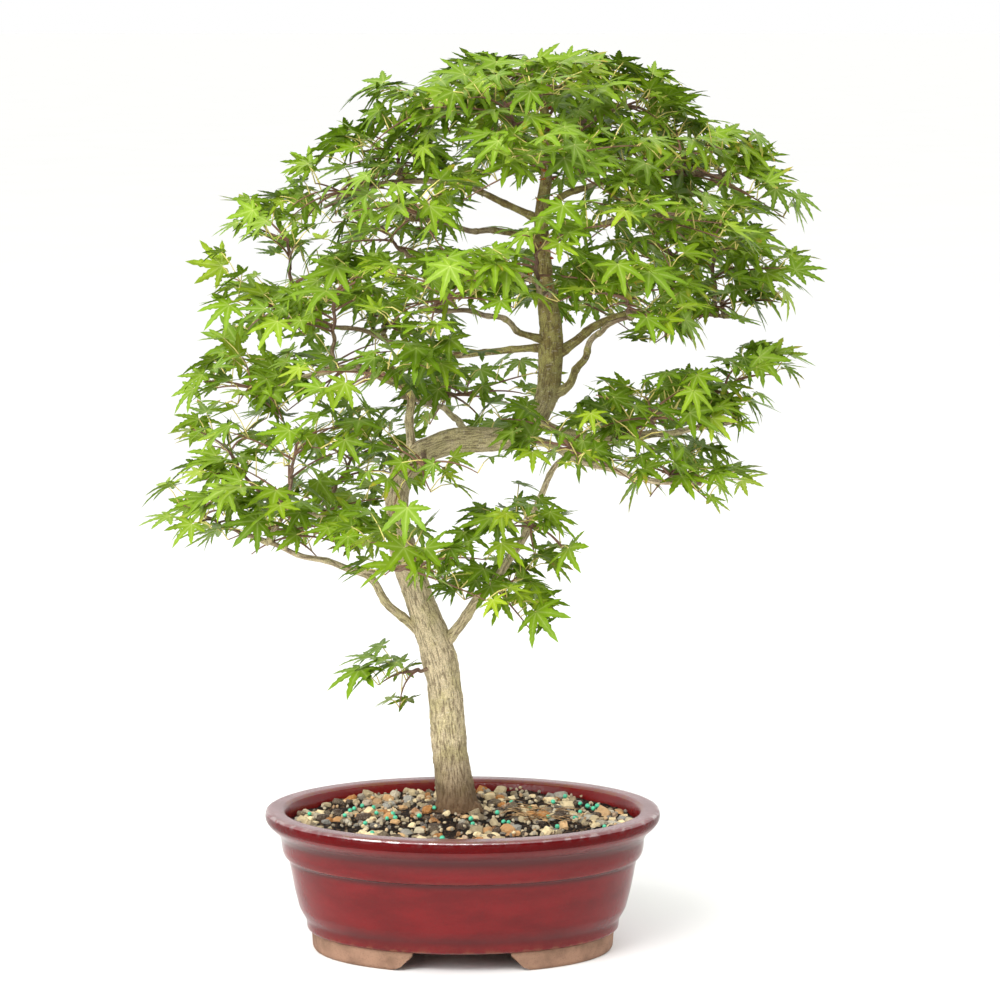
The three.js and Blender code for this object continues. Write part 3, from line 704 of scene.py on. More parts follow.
# The rim's top is mauve: thin glaze, with a painted reflection of the pale room.
RIM = (1.6, 0.8)


def oval(half_length, turn):
    """A point on the pot's oval: the half length times the cosine, the half depth times the sine."""
    return np.stack([half_length * np.cos(turn), (half_length - OVAL) * np.sin(turn)], axis=-1)


def pot_profile(settings):
    """The section of the pot's ring: [half length, height] in millimetres, from the underside out, up, over
    the rim and down the inside to the floor."""
    half, top, foot = POT_HALF / MM, POT_TOP / MM, settings.foot_height / MM
    rim, wall, inset = settings.rim_width / MM, settings.wall / MM, settings.foot_inset / MM
    outside = [
        [FLOOR_START, foot], [half - inset, foot], [half - 26.4, foot + 1.6], [half - 26, 20],
        [half - 23.6, 24], [half - 21.5, 28], [half - 18.5, 40], [half - 15.2, 57.6],
        [half - 14.6, 60.4], [half - 12, 61.9], [half - 10.6, 66], [half - 10, 73.4],
        [half - 7.6, 77.6], [half - 2.2, 82.4], [half - 0.2, 85.6], [half, 88.6],
        [half - 0.6, top - 0.7], [half - 3, top],
    ]
    inside = [
        [half - rim + 2, top - 0.1], [half - rim, top - 2], [half - rim - 1.5, top - 6],
        [half - 10 - wall, 73], [half - 15 - wall, 58], [half - 18.5 - wall, 40], [half - 22.5 - wall, 27],
        [FLOOR_START + 18, 21], [FLOOR_START, 20.5],
    ]
    return np.array(outside + inside)


def pot_marks(section, around):
    """Where the glaze wore thin, pooled and glints: bell curves of the distance from a place on the section,
    given as its half length and height in millimetres, with the bell's width."""
    reach, level = (np.tile(section[:, k] / MM, around) for k in (0, 1))
    half, top = POT_HALF / MM, POT_TOP / MM
    places = {
        "worn": [(0.6, half - 1.6, top - 0.3, 0.9), (0.8, half - 12, top - 0.8, 1.5),
                 (0.15, half - 11.6, 62, 1.2), (0.8, half - 26.6, 13.6, 1.5)],
        "pooled": [(1, half - 9, 76.5, 5.5), (1, half - 14.6, 60, 2.2), (0.5, half - 25.5, 21, 4)],
        "glint": [(1, half - 0.8, top - 0.7, 1.5)],
    }
    marks = {}
    for key, bells in places.items():
        total = sum(share * np.exp(-((reach - a) ** 2 + (level - z) ** 2) / size ** 2)
                    for share, a, z, size in bells)
        marks[key] = np.clip(total, 0, 1)
    return marks


def pot_ring(settings, around=320):
    """The pot's glazed body: the section's [half length, height] carried round the oval."""
    section = eased(pot_profile(settings), 1.5) * MM
    turn = np.arange(around) * TAU / around
    points = raised(oval(section[None, :, 0], turn[:, None]), section[None, :, 1]).reshape(-1, 3)
    faces = [grid(around, len(section), wrap_rows=True)]
    return points, outward(points, faces), pot_marks(section, around)


def floor_half(settings, side, around=72):
    """Half of the pot's floor with its drain hole: a slab between the hole's circle and the D that the
    oval and the pot's middle line make. Along each way from the hole's middle, the D is met where the
    oval's equation, a quadratic in the distance, or the middle line is reached first."""
    centre = side * settings.drain_spacing / 2
    turn = np.arange(around) * TAU / around
    way = np.stack([np.cos(turn), np.sin(turn)], axis=1)
    half_length = (FLOOR_START + FLOOR_LAP) * MM
    half_depth = half_length - OVAL
    a = (way[:, 0] / half_length) ** 2 + (way[:, 1] / half_depth) ** 2
    b = centre * way[:, 0] / half_length ** 2
    c = (centre / half_length) ** 2 - 1
    to_oval = (-b + np.sqrt(b * b - a * c)) / a
    across = side * way[:, 0]
    to_middle = np.where(across < -1e-6, abs(centre) / np.maximum(-across, 1e-6), np.inf)
    outer = np.minimum(to_oval, to_middle)
    low, high = settings.foot_height + 0.1 * MM, FLOOR_TOP * MM
    corners = [(0, low), (1, low), (1, high), (0, high)]
    rows = []
    for share, height in corners:
        reach = mixed(settings.drain_width / 2, outer, share)[:, None] * way
        rows.append(raised(reach + [centre, 0], height))
    points = np.concatenate(rows)
    return points, outward(points, [grid(len(corners), around, wrap_rows=True)])


def foot(settings, side, along=60):
    """One foot: the ring's section carried round the pot's side, each height ending where the arch between
    the feet has its edge."""
    top = settings.foot_height / MM
    half = (POT_HALF - settings.foot_inset) / MM
    section = eased([
        [half - 11.6, 0], [half - 2.4, 0], [half - 1, 2], [half - 0.4, top - 1.5], [half, top + 0.6],
        [half - 12, top + 0.6], [half - 12, 2]], 0.9) * MM
    rise = np.clip(section[:, 1] / settings.foot_height, 0, 1)
    edge = mixed(settings.arch_bottom, settings.arch_top, 1 - (1 - rise) ** 2.2) / 2
    last = np.arccos(np.clip(edge / section[:, 0], -1, 1))
    share = np.linspace(-1, 1, along)[:, None]
    flat = oval(section[None, :, 0], share * last)
    flat[..., 0] *= side
    points = raised(flat, section[None, :, 1]).reshape(-1, 3)
    first_end = np.arange(len(section))[None]
    ends = [first_end[:, ::-1], first_end + (along - 1) * len(section)]
    return points, outward(points, [grid(along, len(section))] + ends)


class BONSAI_OT_pot(bpy.types.Operator):
    """Makes the glazed pot with its feet, floor and drain screens"""
    bl_idname = "bonsai.pot"
    bl_label = "Pot"

    def execute(self, context):
        settings = context.scene.bonsai_pot
        glaze = glaze_material(settings, "Red glaze", settings.glaze, 0.3, 0.35)
        # The lip's darker glaze is painted shade for the dark room it reflects.
        lip = glaze_material(settings, "Lip glaze, painted shade", settings.lip, 0.1, 0.8)
        # The rim's mauve is thin glaze with a painted reflection of the pale room.
        rim = glaze_material(settings, "Rim glaze, thin, painted reflection", settings.rim, 0.6, 0.9)
        clay = clay_material(settings)
        body, body_faces, marks = pot_ring(settings)
        parts = [(body, body_faces), floor_half(settings, -1), floor_half(settings, 1)]
        parts += [foot(settings, -1), foot(settings, 1)]
        points, faces = join(parts)
        face_count = [sum(len(group) for group in part[1]) for part in parts]
        finish = np.repeat([0, 1, 1, 1, 1], face_count)
        middle = body[body_faces[0]].mean(axis=1)
        reach = np.hypot(middle[:, 0], middle[:, 1] * POT_HALF / (POT_HALF - OVAL))
        for index, (below, share) in ((2, LIP), (3, RIM)):
            covered = (middle[:, 2] > POT_TOP - below * MM) & (reach > share * POT_HALF)
            finish[:face_count[0]][covered] = index
        rest = len(points) - len(body)
        piece = make_piece(
            "glazed_pot", points, faces, [glaze, clay, lip, rim], finish=finish,
            fields={key: np.append(mark, np.zeros(rest)) for key, mark in marks.items()})
        piece.data.set_sharp_from_angle(angle=math.radians(50))
        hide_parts("pot")
        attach(piece, "root")
        screen = screen_material()
        for side in ("left", "right"):
            dress("drain_screen_" + side, screen)
        return {"FINISHED"}


# ------------------------------------------------------------------------------ Soil and gravel


BED_HALF = float(GRAVEL_HIGH[0])

# The gravel's level in millimetres: how far the wall's is below the rim, and how much it rises in the middle,
# at the back and in the slow lumps.
BED_DROP, BED_RISE, BED_BACK, BED_LUMPS = 7.5, 4, 2.6, 0.7


def lumps(x, y, size, seed):
    """A lumpy field over the table: the waves at each place, with their size in millimetres."""
    return waves(np.stack([x, y, 0 * x], axis=-1), size * MM, seed)


def bed_height(x, y):
    """The gravel's level: it rises from the wall to the middle and towards the back, with slow lumps."""
    share = np.hypot(x / BED_HALF, y / (BED_HALF - OVAL))
    rise = BED_RISE * (1 - share) + BED_BACK * swell(y / MM, 20, 78)
    return POT_TOP + (rise + BED_LUMPS * lumps(x, y, 60, "bed level") - BED_DROP) * MM


def pebble():
    """A rounded block of 24 faces: a cube's surface in 2 x 2 squares on each side, each point lying about a
    third of the way from a ball to the cube. Returns the points and the faces."""
    step = np.array([-1.0, 0.0, 1.0])
    cells = np.stack(np.meshgrid(step, step, step, indexing="ij"), axis=-1).reshape(-1, 3)
    shell = cells[np.abs(cells).max(axis=1) == 1]
    square = np.array([[0, 0], [1, 0], [1, 1], [0, 1]])
    squares = square[[0, 3, 1, 2], None] + square
    sides = []
    for axis in range(3):
        for level in (0, 2):
            side = np.insert(squares, axis, level, axis=2)
            sides.append(side if (level == 2) == (axis != 1) else side[:, ::-1])
    number = np.concatenate(sides) @ [9, 3, 1]
    middle = len(cells) // 2
    return mixed(unit(shell), shell * 0.72, 0.35), number - (number > middle)


def scattered(template, faces, centres, sizes, rng, rough):
    """Copies of a template, made uneven and stretched by their three sizes, then turned about the upright,
    leaned a little and turned again."""
    count = len(centres)
    shape = template[None] * (1 + rough * rng.normal(size=(count, len(template), 1))) * sizes[:, None, :]
    turn, lean, again = rng.uniform(0, TAU, count), rng.normal(0, 0.45, count), rng.uniform(0, TAU, count)
    for angle, a, b in ((turn, 0, 1), (lean, 1, 2), (again, 0, 1)):
        cos, sin = np.cos(angle)[:, None], np.sin(angle)[:, None]
        shape[..., a], shape[..., b] = (shape[..., a] * cos - shape[..., b] * sin,
                                        shape[..., a] * sin + shape[..., b] * cos)
    first = (np.arange(count) * len(template))[:, None, None]
    return (centres[:, None] + shape).reshape(-1, 3), [(faces[None] + first).reshape(-1, faces.shape[1])]


def strewn(spacing, rng, margin):
    """Places on the gravel: a grid of offset rows, each place moved a little, inside the oval and outside
    the trunk."""
    half = BED_HALF - margin
    x = np.arange(-half, half, spacing)
    y = np.arange(-half, half, spacing * 0.86)
    px, py = np.meshgrid(x, y)
    px = px + (np.arange(len(y)) % 2 * spacing / 2)[:, None]
    px = px + rng.uniform(-0.32, 0.32, px.shape) * spacing
    py = py + rng.uniform(-0.32, 0.32, py.shape) * spacing
    collar = TRUNK[2] * MM
    inside = np.hypot(px / half, py / (half - OVAL)) < 1
    clear = np.hypot(px - collar[0], py - collar[1]) > collar[3] + margin * 0.4
    keep = inside & clear
    return px[keep], py[keep]


def bed_surface(rings=26, around=150):
    """The soil between the stones: a closed mound of rings, from the middle out and back beneath."""
    share = np.linspace(1 / rings, 1, rings)[:, None]
    turn = np.arange(around)[None] * TAU / around
    flat = oval(BED_HALF, turn) * share[..., None]
    x, y = flat[..., 0], flat[..., 1]
    upper = raised(flat, bed_height(x, y) - 2.2 * MM + 0.8 * MM * lumps(x, y, 7, "bed grit"))
    lower = raised(flat[::-1], float(GRAVEL_LOW[2]) + 0.3 * MM)
    rows = np.concatenate([upper, lower]).reshape(-1, 3)
    poles = np.stack([upper[0].mean(axis=0), lower[-1].mean(axis=0)])
    j = np.arange(around)
    k = (j + 1) % around
    last = (2 * rings - 1) * around
    fans = np.concatenate([
        np.stack([np.full(around, len(rows)), k, j], axis=1),
        np.stack([np.full(around, len(rows) + 1), last + j, last + k], axis=1)])
    points = np.concatenate([rows, poles])
    return points, outward(points, [grid(2 * rings, around), fans])


def stones(settings, rng):
    """The stones: pebbles strewn on the bed, with bare spots here and there and one in front of the trunk, to
    its right. Returns the points, the faces and each point's lightness, rust and grey."""
    template, squares = pebble()
    x, y = strewn(settings.spacing, rng, settings.stone / 2)
    hollow = np.exp(-(np.hypot(x - 24 * MM, y + 14 * MM) / (26 * MM)) ** 2)
    bare = lumps(x, y, 42, "bare spots") + 0.7 * hollow + rng.normal(0, 0.25, len(x))
    x, y = x[bare < 0.08], y[bare < 0.08]
    count = len(x)
    size = settings.stone / 2 * np.exp(rng.normal(-0.12, 0.26, (count, 1))).clip(0.5, 1.4)
    size = size * np.stack([rng.uniform(0.9, 1.15, count), rng.uniform(0.7, 1, count),
                            rng.uniform(0.5, 0.8, count)], axis=1)
    centres = np.stack([x, y, bed_height(x, y) - 1.9 * MM + rng.uniform(-1, 1, count) * MM], axis=1)
    points, faces = scattered(template, squares, centres, size, rng, 0.07)
    light = np.clip(rng.normal(0.34, 0.48, count), 0, 1)
    rust = np.where(rng.random(count) < 0.24, rng.uniform(0.25, 0.8, count), 0)
    grey = np.where(rng.random(count) < 0.25, rng.uniform(0.2, 0.8, count), 0)
    return points, faces, np.repeat(np.stack([light, rust, grey], axis=1), len(template), axis=0)


def grit(settings, rng):
    """Grit between the stones: small pebbles at a fifth of the places of a finer grid. Returns what stones
    does."""
    template, squares = pebble()
    x, y = strewn(settings.spacing * 0.55, rng, 2 * MM)
    pick = rng.random(len(x)) < 0.2
    x, y = x[pick], y[pick]
    count = len(x)
    size = rng.uniform(0.7, 1.5, (count, 3)) * MM
    centres = np.stack([x, y, bed_height(x, y) - 0.9 * MM + rng.uniform(-1, 1.5, count) * MM], axis=1)
    points, faces = scattered(template, squares, centres, size, rng, 0.1)
    light = rng.uniform(0, 1, count)
    rust = 0.4 * (rng.random(count) < 0.2)
    grey = rng.uniform(0, 0.5, count)
    return points, faces, np.repeat(np.stack([light, rust, grey], axis=1), len(template), axis=0)


def beads(settings, rng):
    """Fertiliser beads: balls at places chosen from a grid like the stones', their middles a little above the
    gravel's level."""
    template, squares = pebble()
    x, y = strewn(settings.spacing, rng, settings.stone)
    chosen = rng.permutation(len(x))[:settings.beads]
    x, y = x[chosen], y[chosen]
    centres = np.stack([x, y, bed_height(x, y) + 0.7 * MM], axis=1)
    size = np.full((len(x), 3), settings.bead / 2) * rng.uniform(0.85, 1.1, (len(x), 1))
    return scattered(unit(template), squares, centres, size, rng, 0.0)


def fine_roots(rng, count=26, rings=9):
    """Feeding roots on the gravel, right of the trunk: short wandering paths that keep to its surface."""
    start = np.stack([rng.uniform(16, 58, count), rng.uniform(-22, 20, count)], axis=1) * MM
    heading = rng.uniform(-0.9, 0.9, count)[:, None] + np.cumsum(rng.normal(0, 0.28, (count, rings)), axis=1)
    pace = rng.uniform(1.6, 3.4, count)[:, None] * MM
    x = start[:, :1] + np.cumsum(np.cos(heading), axis=1) * pace
    y = start[:, 1:] + np.cumsum(np.sin(heading), axis=1) * pace
    hump = np.sin(np.linspace(0, math.pi, rings))[None] * rng.uniform(0.5, 3.5, count)[:, None] * MM
    paths = np.stack([x, y, bed_height(x, y) + 1.4 * MM + hump], axis=2)
    radii = np.linspace(0.32, 0.14, rings)[None] * MM * np.ones((count, 1))
    return tubes(paths, radii, 4)[:2]


class BONSAI_OT_gravel(bpy.types.Operator):
    """Makes the gravel: its bed, stones, fertiliser beads and fine roots, and finishes the soil"""
    bl_idname = "bonsai.gravel"
    bl_label = "Gravel"

    def execute(self, context):
        settings = context.scene.bonsai_gravel
        rng = np.random.default_rng(SEEDS["gravel"])
        soil = soil_material(settings)
        stone = stone_material(settings)
        dress("soil", soil)
        pieces = [make_piece("gravel_bed", *bed_surface(), [soil])]
        for name, strew in (("gravel_stones", stones), ("gravel_grit", grit)):
            points, faces, hue = strew(settings, rng)
            pieces.append(make_piece(name, points, faces, [stone], smooth=False, fields={"hue": hue}))
        pieces.append(make_piece("fertiliser_beads", *beads(settings, rng), [bead_material(settings)]))
        pieces.append(make_piece("fine_roots", *fine_roots(rng), [root_material()]))
        for piece in pieces:
            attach(piece, "root")
            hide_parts("gravel_layer")
        return {"FINISHED"}


# ------------------------------------------------------------------------------ Wood


def spray_frame(name):
    """The middle and the half sizes of a layer of leaves."""
    low, high = (np.array(corner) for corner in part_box(name))
    return (low + high) / 2, (high - low) / 2


def bark_relief(depth):
    """Furrows and lumps on a tube's radius: waves on the turn and the length, more on thick wood."""
    def relief(turn, along, radius):
        turn, along, radius = np.broadcast_arrays(turn, along, radius)
        place = np.stack([radius * np.cos(turn), radius * np.sin(turn), along], axis=-1)
        swells = waves(place * [1, 1, 0.45], 16 * MM, "bark lumps") * 0.028 * radius
        ridges = np.abs(waves(place * [1, 1, 0.16], 3.2 * MM, "bark ridges")) * depth
        return (swells - ridges + depth * 0.5) * np.clip(radius / (9 * MM), 0.1, 1.4)
    return relief


def root_flare(turn, along, radius):
    """The trunk widens into five ridges where it meets the soil."""
    ridge = 0.5 + 0.5 * np.cos(5 * turn + 0.6 + 8 * along)
    low = np.exp(-np.maximum(along - 22 * MM, 0) / (11 * MM))
    return radius * 0.13 * ridge * low


def scar(turn, along, at, width, height):
    """A bump at one turn and length along the wood, such as a knot or a healed cut."""
    apart = np.angle(np.exp(1j * (turn - at[0])))
    return height * np.exp(-(apart / width[0]) ** 2 - ((along - at[1]) / width[1]) ** 2)


# Knots and healed cuts on the trunk: turn in radians and length along, reach round and along, and height.
# Lengths are in metres.
KNOTS = [
    ((4.4, 0.118), (0.5, 0.006), 0.0022),
    ((1.6, 0.142), (0.6, 0.007), 0.0018),
    ((5.2, 0.215), (0.5, 0.005), 0.0014),
    ((3.0, 0.262), (0.7, 0.008), 0.0016),
    ((0.6, 0.300), (0.4, 0.016), 0.0016),
    ((2.4, 0.345), (0.6, 0.006), 0.0014),
    ((4.0, 0.395), (0.6, 0.006), 0.0015),
]


def trunk_tube(settings, rings=430, sides=72):
    """The trunk: rings along its route, with bark relief, root flare and knots."""
    route = smooth_route(TRUNK, rings) * MM
    furrows = bark_relief(settings.relief)

    def relief(turn, along, radius):
        total = furrows(turn, along, radius) + root_flare(turn, along, radius)
        for at, width, height in KNOTS:
            total = total + scar(turn, along, at, width, height)
        return total

    return tubes(route[None, :, :3], route[None, :, 3], sides, relief)


# Buds on a branch: their spacing in millimetres and how much each swells it, and how much its collar does.
BUD_SPACING, BUD_SWELL, COLLAR_SWELL = 19, 0.16, 0.75


def wandering(wood, rings, seed, sway):
    """The paths of several pieces of wood, each given as its two radii and its route, at one ring count and
    with a slow sway, and their radii, which swell at the buds and at the collar."""
    starts, ends, routes = zip(*wood)
    rng = np.random.default_rng(SEEDS[seed])
    paths = np.stack([smooth_route(route, rings) for route in routes]) * MM
    share = np.linspace(0, 1, rings)[None, :, None]
    phase = rng.uniform(0, TAU, (len(routes), 1, 3))
    speed = rng.uniform(2.2, 4.2, (len(routes), 1, 3))
    fade = np.sin(share * math.pi) ** 0.5
    paths = paths + sway * fade * np.sin(share * speed * TAU + phase)
    length = np.linalg.norm(np.diff(paths, axis=1), axis=2).sum(axis=1)[:, None]
    along = share[..., 0] * length
    radii = mixed(np.array(starts)[:, None] * MM, np.array(ends)[:, None] * MM, share[..., 0])
    buds = np.exp(-((along / MM % BUD_SPACING - BUD_SPACING // 2) / 2) ** 2)
    radii = radii * (1 + BUD_SWELL * buds + COLLAR_SWELL * np.exp(-along / (5 * MM)))
    return paths, radii


def growing_places():
    """Places along the trunk above its bare foot and along the branches, six for each of their points."""
    routes = [TRUNK[BARE_FOOT:, :3]] + [np.array(points) for _, _, points in BRANCHES.values()]
    return np.concatenate([smooth_route(route, 1 + len(route) * 6) for route in routes]) * MM


def twig_route(name, places):
    """From the nearest wood below a layer of leaves, outwards and then up to just under its middle."""
    centre, _ = spray_frame(name)
    below = places[places[:, 2] < centre[2] - 4 * MM]
    start = below[np.argmin(np.linalg.norm(below - centre, axis=1))]
    bend = mixed(start, centre, 0.6)
    bend[2] = mixed(start[2], centre[2], 0.35)
    return np.stack([start, bend, centre - [0, 0, 5 * MM]])


def shoot_ends(name, number, count):
    """Where each shoot of a spray leaves its twig, as a share from the twig's bend to its end, and where
    the shoot ends: spread round the layer's oval, and above and below it."""
    rng = np.random.default_rng(SEEDS["shoots"] + number)
    centre, half = spray_frame(name)
    angle = (np.arange(count) + rng.uniform(-0.32, 0.32, count)) * TAU / count + rng.uniform(0, TAU)
    reach = rng.uniform(0.45, 0.9, count)
    level = np.linspace(-29, 9, count)[rng.permutation(count)] + rng.uniform(-4, 4, count)
    across = half[:2] * reach[:, None] * np.stack([np.cos(angle), np.sin(angle)], axis=1)
    end = centre + raised(across, level * MM)
    end[:, 2] = np.minimum(end[:, 2], CAD_BOX[1][2] - 17 * MM)
    share = swell(level, -35, 7) * rng.uniform(0.75, 1, count)
    return share, end


def bud_scales(rings=5, each=4):
    """Dry scales left in bunches on the wood inside the crown's top: short tubes whose radius is a sine of
    the length, leaning away from the wood."""
    rng = np.random.default_rng(SEEDS["bud scales"])
    places = [np.insert(smooth_route(points, 9)[1:4], 3, radius, axis=1)
              for radius, _, points in BRANCHES.values()]
    places = np.concatenate([*places, smooth_route(TRUNK[CROWN:], 26)]) * MM
    inner = (np.abs(places[:, 0] - 53 * MM) < 12 * MM) & (places[:, 2] > 425 * MM)
    start, radius = np.split(np.repeat(places[inner], each, axis=0), [3], axis=1)
    lean = unit(rng.normal(size=start.shape) + [0, 0, 0.5])
    length = rng.uniform(2, 4.5, (len(start), 1)) * MM
    start = start + lean * radius * 0.8
    share = np.linspace(0, 1, rings)[None, :, None]
    bent = rng.normal(0, 0.8, start.shape)[:, None] * MM * share ** 2
    paths = start[:, None] + lean[:, None] * length[:, None] * share + bent
    radii = np.sin(np.linspace(0.35, 2.9, rings))[None] * rng.uniform(0.5, 0.95, (len(start), 1)) * MM
    return tubes(paths, radii, 4)[:2]


class BONSAI_OT_wood(bpy.types.Operator):
    """Makes the trunk, surface roots, branches and twigs"""
    bl_idname = "bonsai.wood"
    bl_label = "Wood"

    def execute(self, context):
        settings = context.scene.bonsai_wood
        furrows = bark_relief(settings.relief)
        places = growing_places()
        twigs = [(1.5, 0.9, twig_route(name, places) / MM) for name in SPRAY_NODES]
        parts = [
            trunk_tube(settings),
            tubes(*wandering(BRANCHES.values(), 90, "branches", 0.9 * MM), 14, furrows),
            tubes(*wandering(ROOTS.values(), 40, "roots", 0.3 * MM), 20, furrows),
            tubes(*wandering(twigs, 26, "twigs", 0.8 * MM), 7),
        ]
        points, faces = join([part[:2] for part in parts])
        grain = np.concatenate([part[2] for part in parts])
        thick = np.concatenate([part[3] for part in parts]) / MM
        low = points[:, 2] / MM
        # Darker towards the foot near the soil, and painted shade on the wood inside the crown, from 340 mm
        # up.
        dark_foot_and_shade = 0.92 * (1 - swell(low, 86, 150)) ** 1.4 + 0.3 * swell(low, 340, 470)
        mossy = 0.8 * swell(low, 320, 385) * (thick > 2)
        thin = 0.85 * (1 - swell(thick, 1.0, 2.0))
        piece = make_piece("trunk_and_twigs", points, faces, [bark_material(settings)],
                           fields={"grain": grain, "dark_foot_and_shade": dark_foot_and_shade, "mossy": mossy, "thin": thin})
        scales = make_piece("bud_scales", *bud_scales(), [bud_scale_material()])
        for made in (piece, scales):
            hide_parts("trunk_and_branches")
            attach(made, "root")
        return {"FINISHED"}


# ------------------------------------------------------------------------------ Leaves


# Lobes of a leaf: angle from the middle lobe in degrees, and length as a share of the middle lobe.
LOBES = np.array([(-128, 0.36), (-82, 0.7), (-41, 0.93), (0, 1.0), (41, 0.93), (82, 0.7), (128, 0.36)])

# A lobe's edge beyond the hollow beside it, as shares of its length and width: a tooth and a notch in turn.
TEETH = np.array([(0.42, 0.128), (0.5, 0.088), (0.58, 0.12), (0.66, 0.068), (0.77, 0.078)])

# How far the hollows between the lobes are from the stalk: at the leaf's foot, beside its two smallest lobes,
# and elsewhere.
HOLLOWS = (0.06, 0.2325, 0.31)


def leaf_template():
    """A leaf as a thin closed lens of seven lobes. Each lobe has a midrib, three teeth with notches between
    them and a long tip, and its underside shares the outline. A point lies at a reach along its lobe's angle
    and a way across it. Returns the points, the rib mask, the reach of each and the faces, by their number
    of corners. The stalk joins at the origin and the middle lobe points along x."""
    angle, length = LOBES[:, :1], LOBES[:, 1:]
    between = np.concatenate([angle[:1] - 26, (angle[1:] + angle[:-1]) / 2, angle[-1:] + 26])
    foot, outer, inner = HOLLOWS
    hollow = np.array([foot, outer] + [inner] * (len(LOBES) - 3) + [outer, foot])[:, None]

    # A lobe's points: its left and right edge, its tip, and its midrib's two points above and below.
    along, out = TEETH.T
    reach = np.concatenate([along, along, [1, 0.42, 0.7, 0.42, 0.7]]) * length
    across = np.concatenate([-out, out, np.zeros(5)]) * (0.62 + 0.38 * length)
    depth = np.array([0] * 11 + [-0.05, -0.03, -1.05, -1.03]) + 0 * reach
    ribbed = np.array([0] * 10 + [0.3, 1, 0.85, 1, 0.85]) + 0 * reach

    def placed(angle, reach, across, depth):
        cos, sin = np.cos(np.radians(angle)), np.sin(np.radians(angle))
        rows = [reach * cos - across * sin, reach * sin + across * cos, depth]
        return np.stack(rows, axis=-1).reshape(-1, 3)

    points = np.concatenate([
        [[0, 0, 0], [0, 0, -1]], placed(between, hollow, 0, 0 * hollow),
        placed(angle, reach, across, depth)])
    rib = np.concatenate([[1, 1], 0 * hollow.ravel(), ribbed.ravel()])
    tip = np.concatenate([[0, 0], hollow.ravel(), reach.ravel()])

    lobe = np.arange(len(LOBES))
    first = 2 + len(hollow) + lobe * reach.shape[1]
    ring, end = len(TEETH), first + 2 * len(TEETH)
    faces = {4: [], 7: [], 3: [[[2, 0, 1], [1 + len(hollow), 1, 0]]]}
    for level in (0, 1):
        near, far = end + 1 + 2 * level, end + 2 + 2 * level
        for hand in (0, 1):
            row = (first + hand * ring)[:, None] + np.arange(ring)
            cells = [
                np.stack([level + 0 * lobe, 2 + lobe + hand, row[:, 0], near], axis=1),
                np.column_stack([near, row, far]), np.stack([far, row[:, -1], end], axis=1)]
            for cell in cells:
                faces[cell.shape[1]].append(cell if hand == level else cell[:, ::-1])
    return points, rib, tip, [np.concatenate(group) for group in faces.values()]


def leaf_copies(points, reach, bases, forward, normal, size, curl, fold):
    """Leaves placed in space: each point is the base plus its local x along the midrib, y across and z along
    the normal, after the lobes are drooped by the square of their length and folded along the middle."""
    x, y, z = points.T[..., None]
    depth = z * 0.012 - curl * reach[:, None] ** 2 + fold * np.abs(y) ** 1.3
    side = np.cross(normal, forward)
    shape = x[..., None] * forward + y[..., None] * side + depth[..., None] * normal
    return (bases + size[:, None] * shape).swapaxes(0, 1).reshape(-1, 3)


# What keeps a way level, the way up, and the upright that the leaves face away from, in millimetres.
LEVEL = np.array([1, 1, 0])
UPRIGHT = np.array([0, 0, 1.0])
CROWN_MIDDLE = np.array([20, 6, 0])

# How far a leaf may reach past the CAD model's box: a share of each side, and millimetres.
ROOM_SHARE, ROOM = 0.03, 6

# Share of the leaves left out at random, and the further share at the left.
THINNED, THINNED_LEFT = 0.08, 0.28

# The place in front of the tree that its open spots are pruned for, in metres.
STAND_OFF, STAND_X, STAND_Z = 2.2, 0.024, 0.628

# Open spots through the crown, and stretches of wood that show: x, z and radius in millimetres.
OPEN_SPOTS = np.array([
    [77, 371, 9], [27, 370, 8], [24, 297, 8], [18, 401, 9], [80, 396, 8], [90, 292, 17], [11, 459, 8],
    [-71, 392, 8], [84, 274, 14], [108, 255, 19], [-85, 229, 14], [-212, 326, 19], [-212, 262, 14],
    [-208, 368, 20], [-196, 404, 16], [-218, 294, 13], [-178, 424, 15], [-188, 384, 15], [-202, 344, 14],
])
BARE_WOOD = np.array([
    [-22, 327, 8], [-5, 332, 9], [13, 331, 5], [54, 357, 8], [54, 375, 9], [56, 392, 7],
    [-16, 205, 12], [-12, 180, 14], [-10, 150, 16], [40, 478, 8], [49, 456, 5], [-46, 222, 8],
])


def in_the_open(places):
    """Whether a leaf would fill one of the crown's open spots, seen from the front, or hide bare wood from
    in front of it."""
    near = STAND_OFF / (STAND_OFF + places[:, 1])
    x = (STAND_X + (places[:, 0] - STAND_X) * near) / MM
    z = (STAND_Z + (places[:, 2] - STAND_Z) * near) / MM

    def within(spots, margin):
        apart = np.hypot(x[:, None] - spots[:, 0], z[:, None] - spots[:, 1])
        return (apart < spots[:, 2] + margin).any(axis=1)

    before = places[:, 1] < 6 * MM
    return within(OPEN_SPOTS, 5) | (before & within(BARE_WOOD, 6))


class BONSAI_OT_leaves(bpy.types.Operator):
    """Makes a spray of shoots, stalks and leaves for each layer of the crown"""
    bl_idname = "bonsai.leaves"
    bl_label = "Leaves"

    def execute(self, context):
        settings = context.scene.bonsai_leaf
        materials = [leaf_material(settings), stalk_material(settings)]
        template = leaf_template()
        places = growing_places()
        for number, name in enumerate(SPRAY_NODES):
            piece = spray(settings, template, name, number, materials, twig_route(name, places))
            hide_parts(name)
            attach(piece, "root")
        return {"FINISHED"}


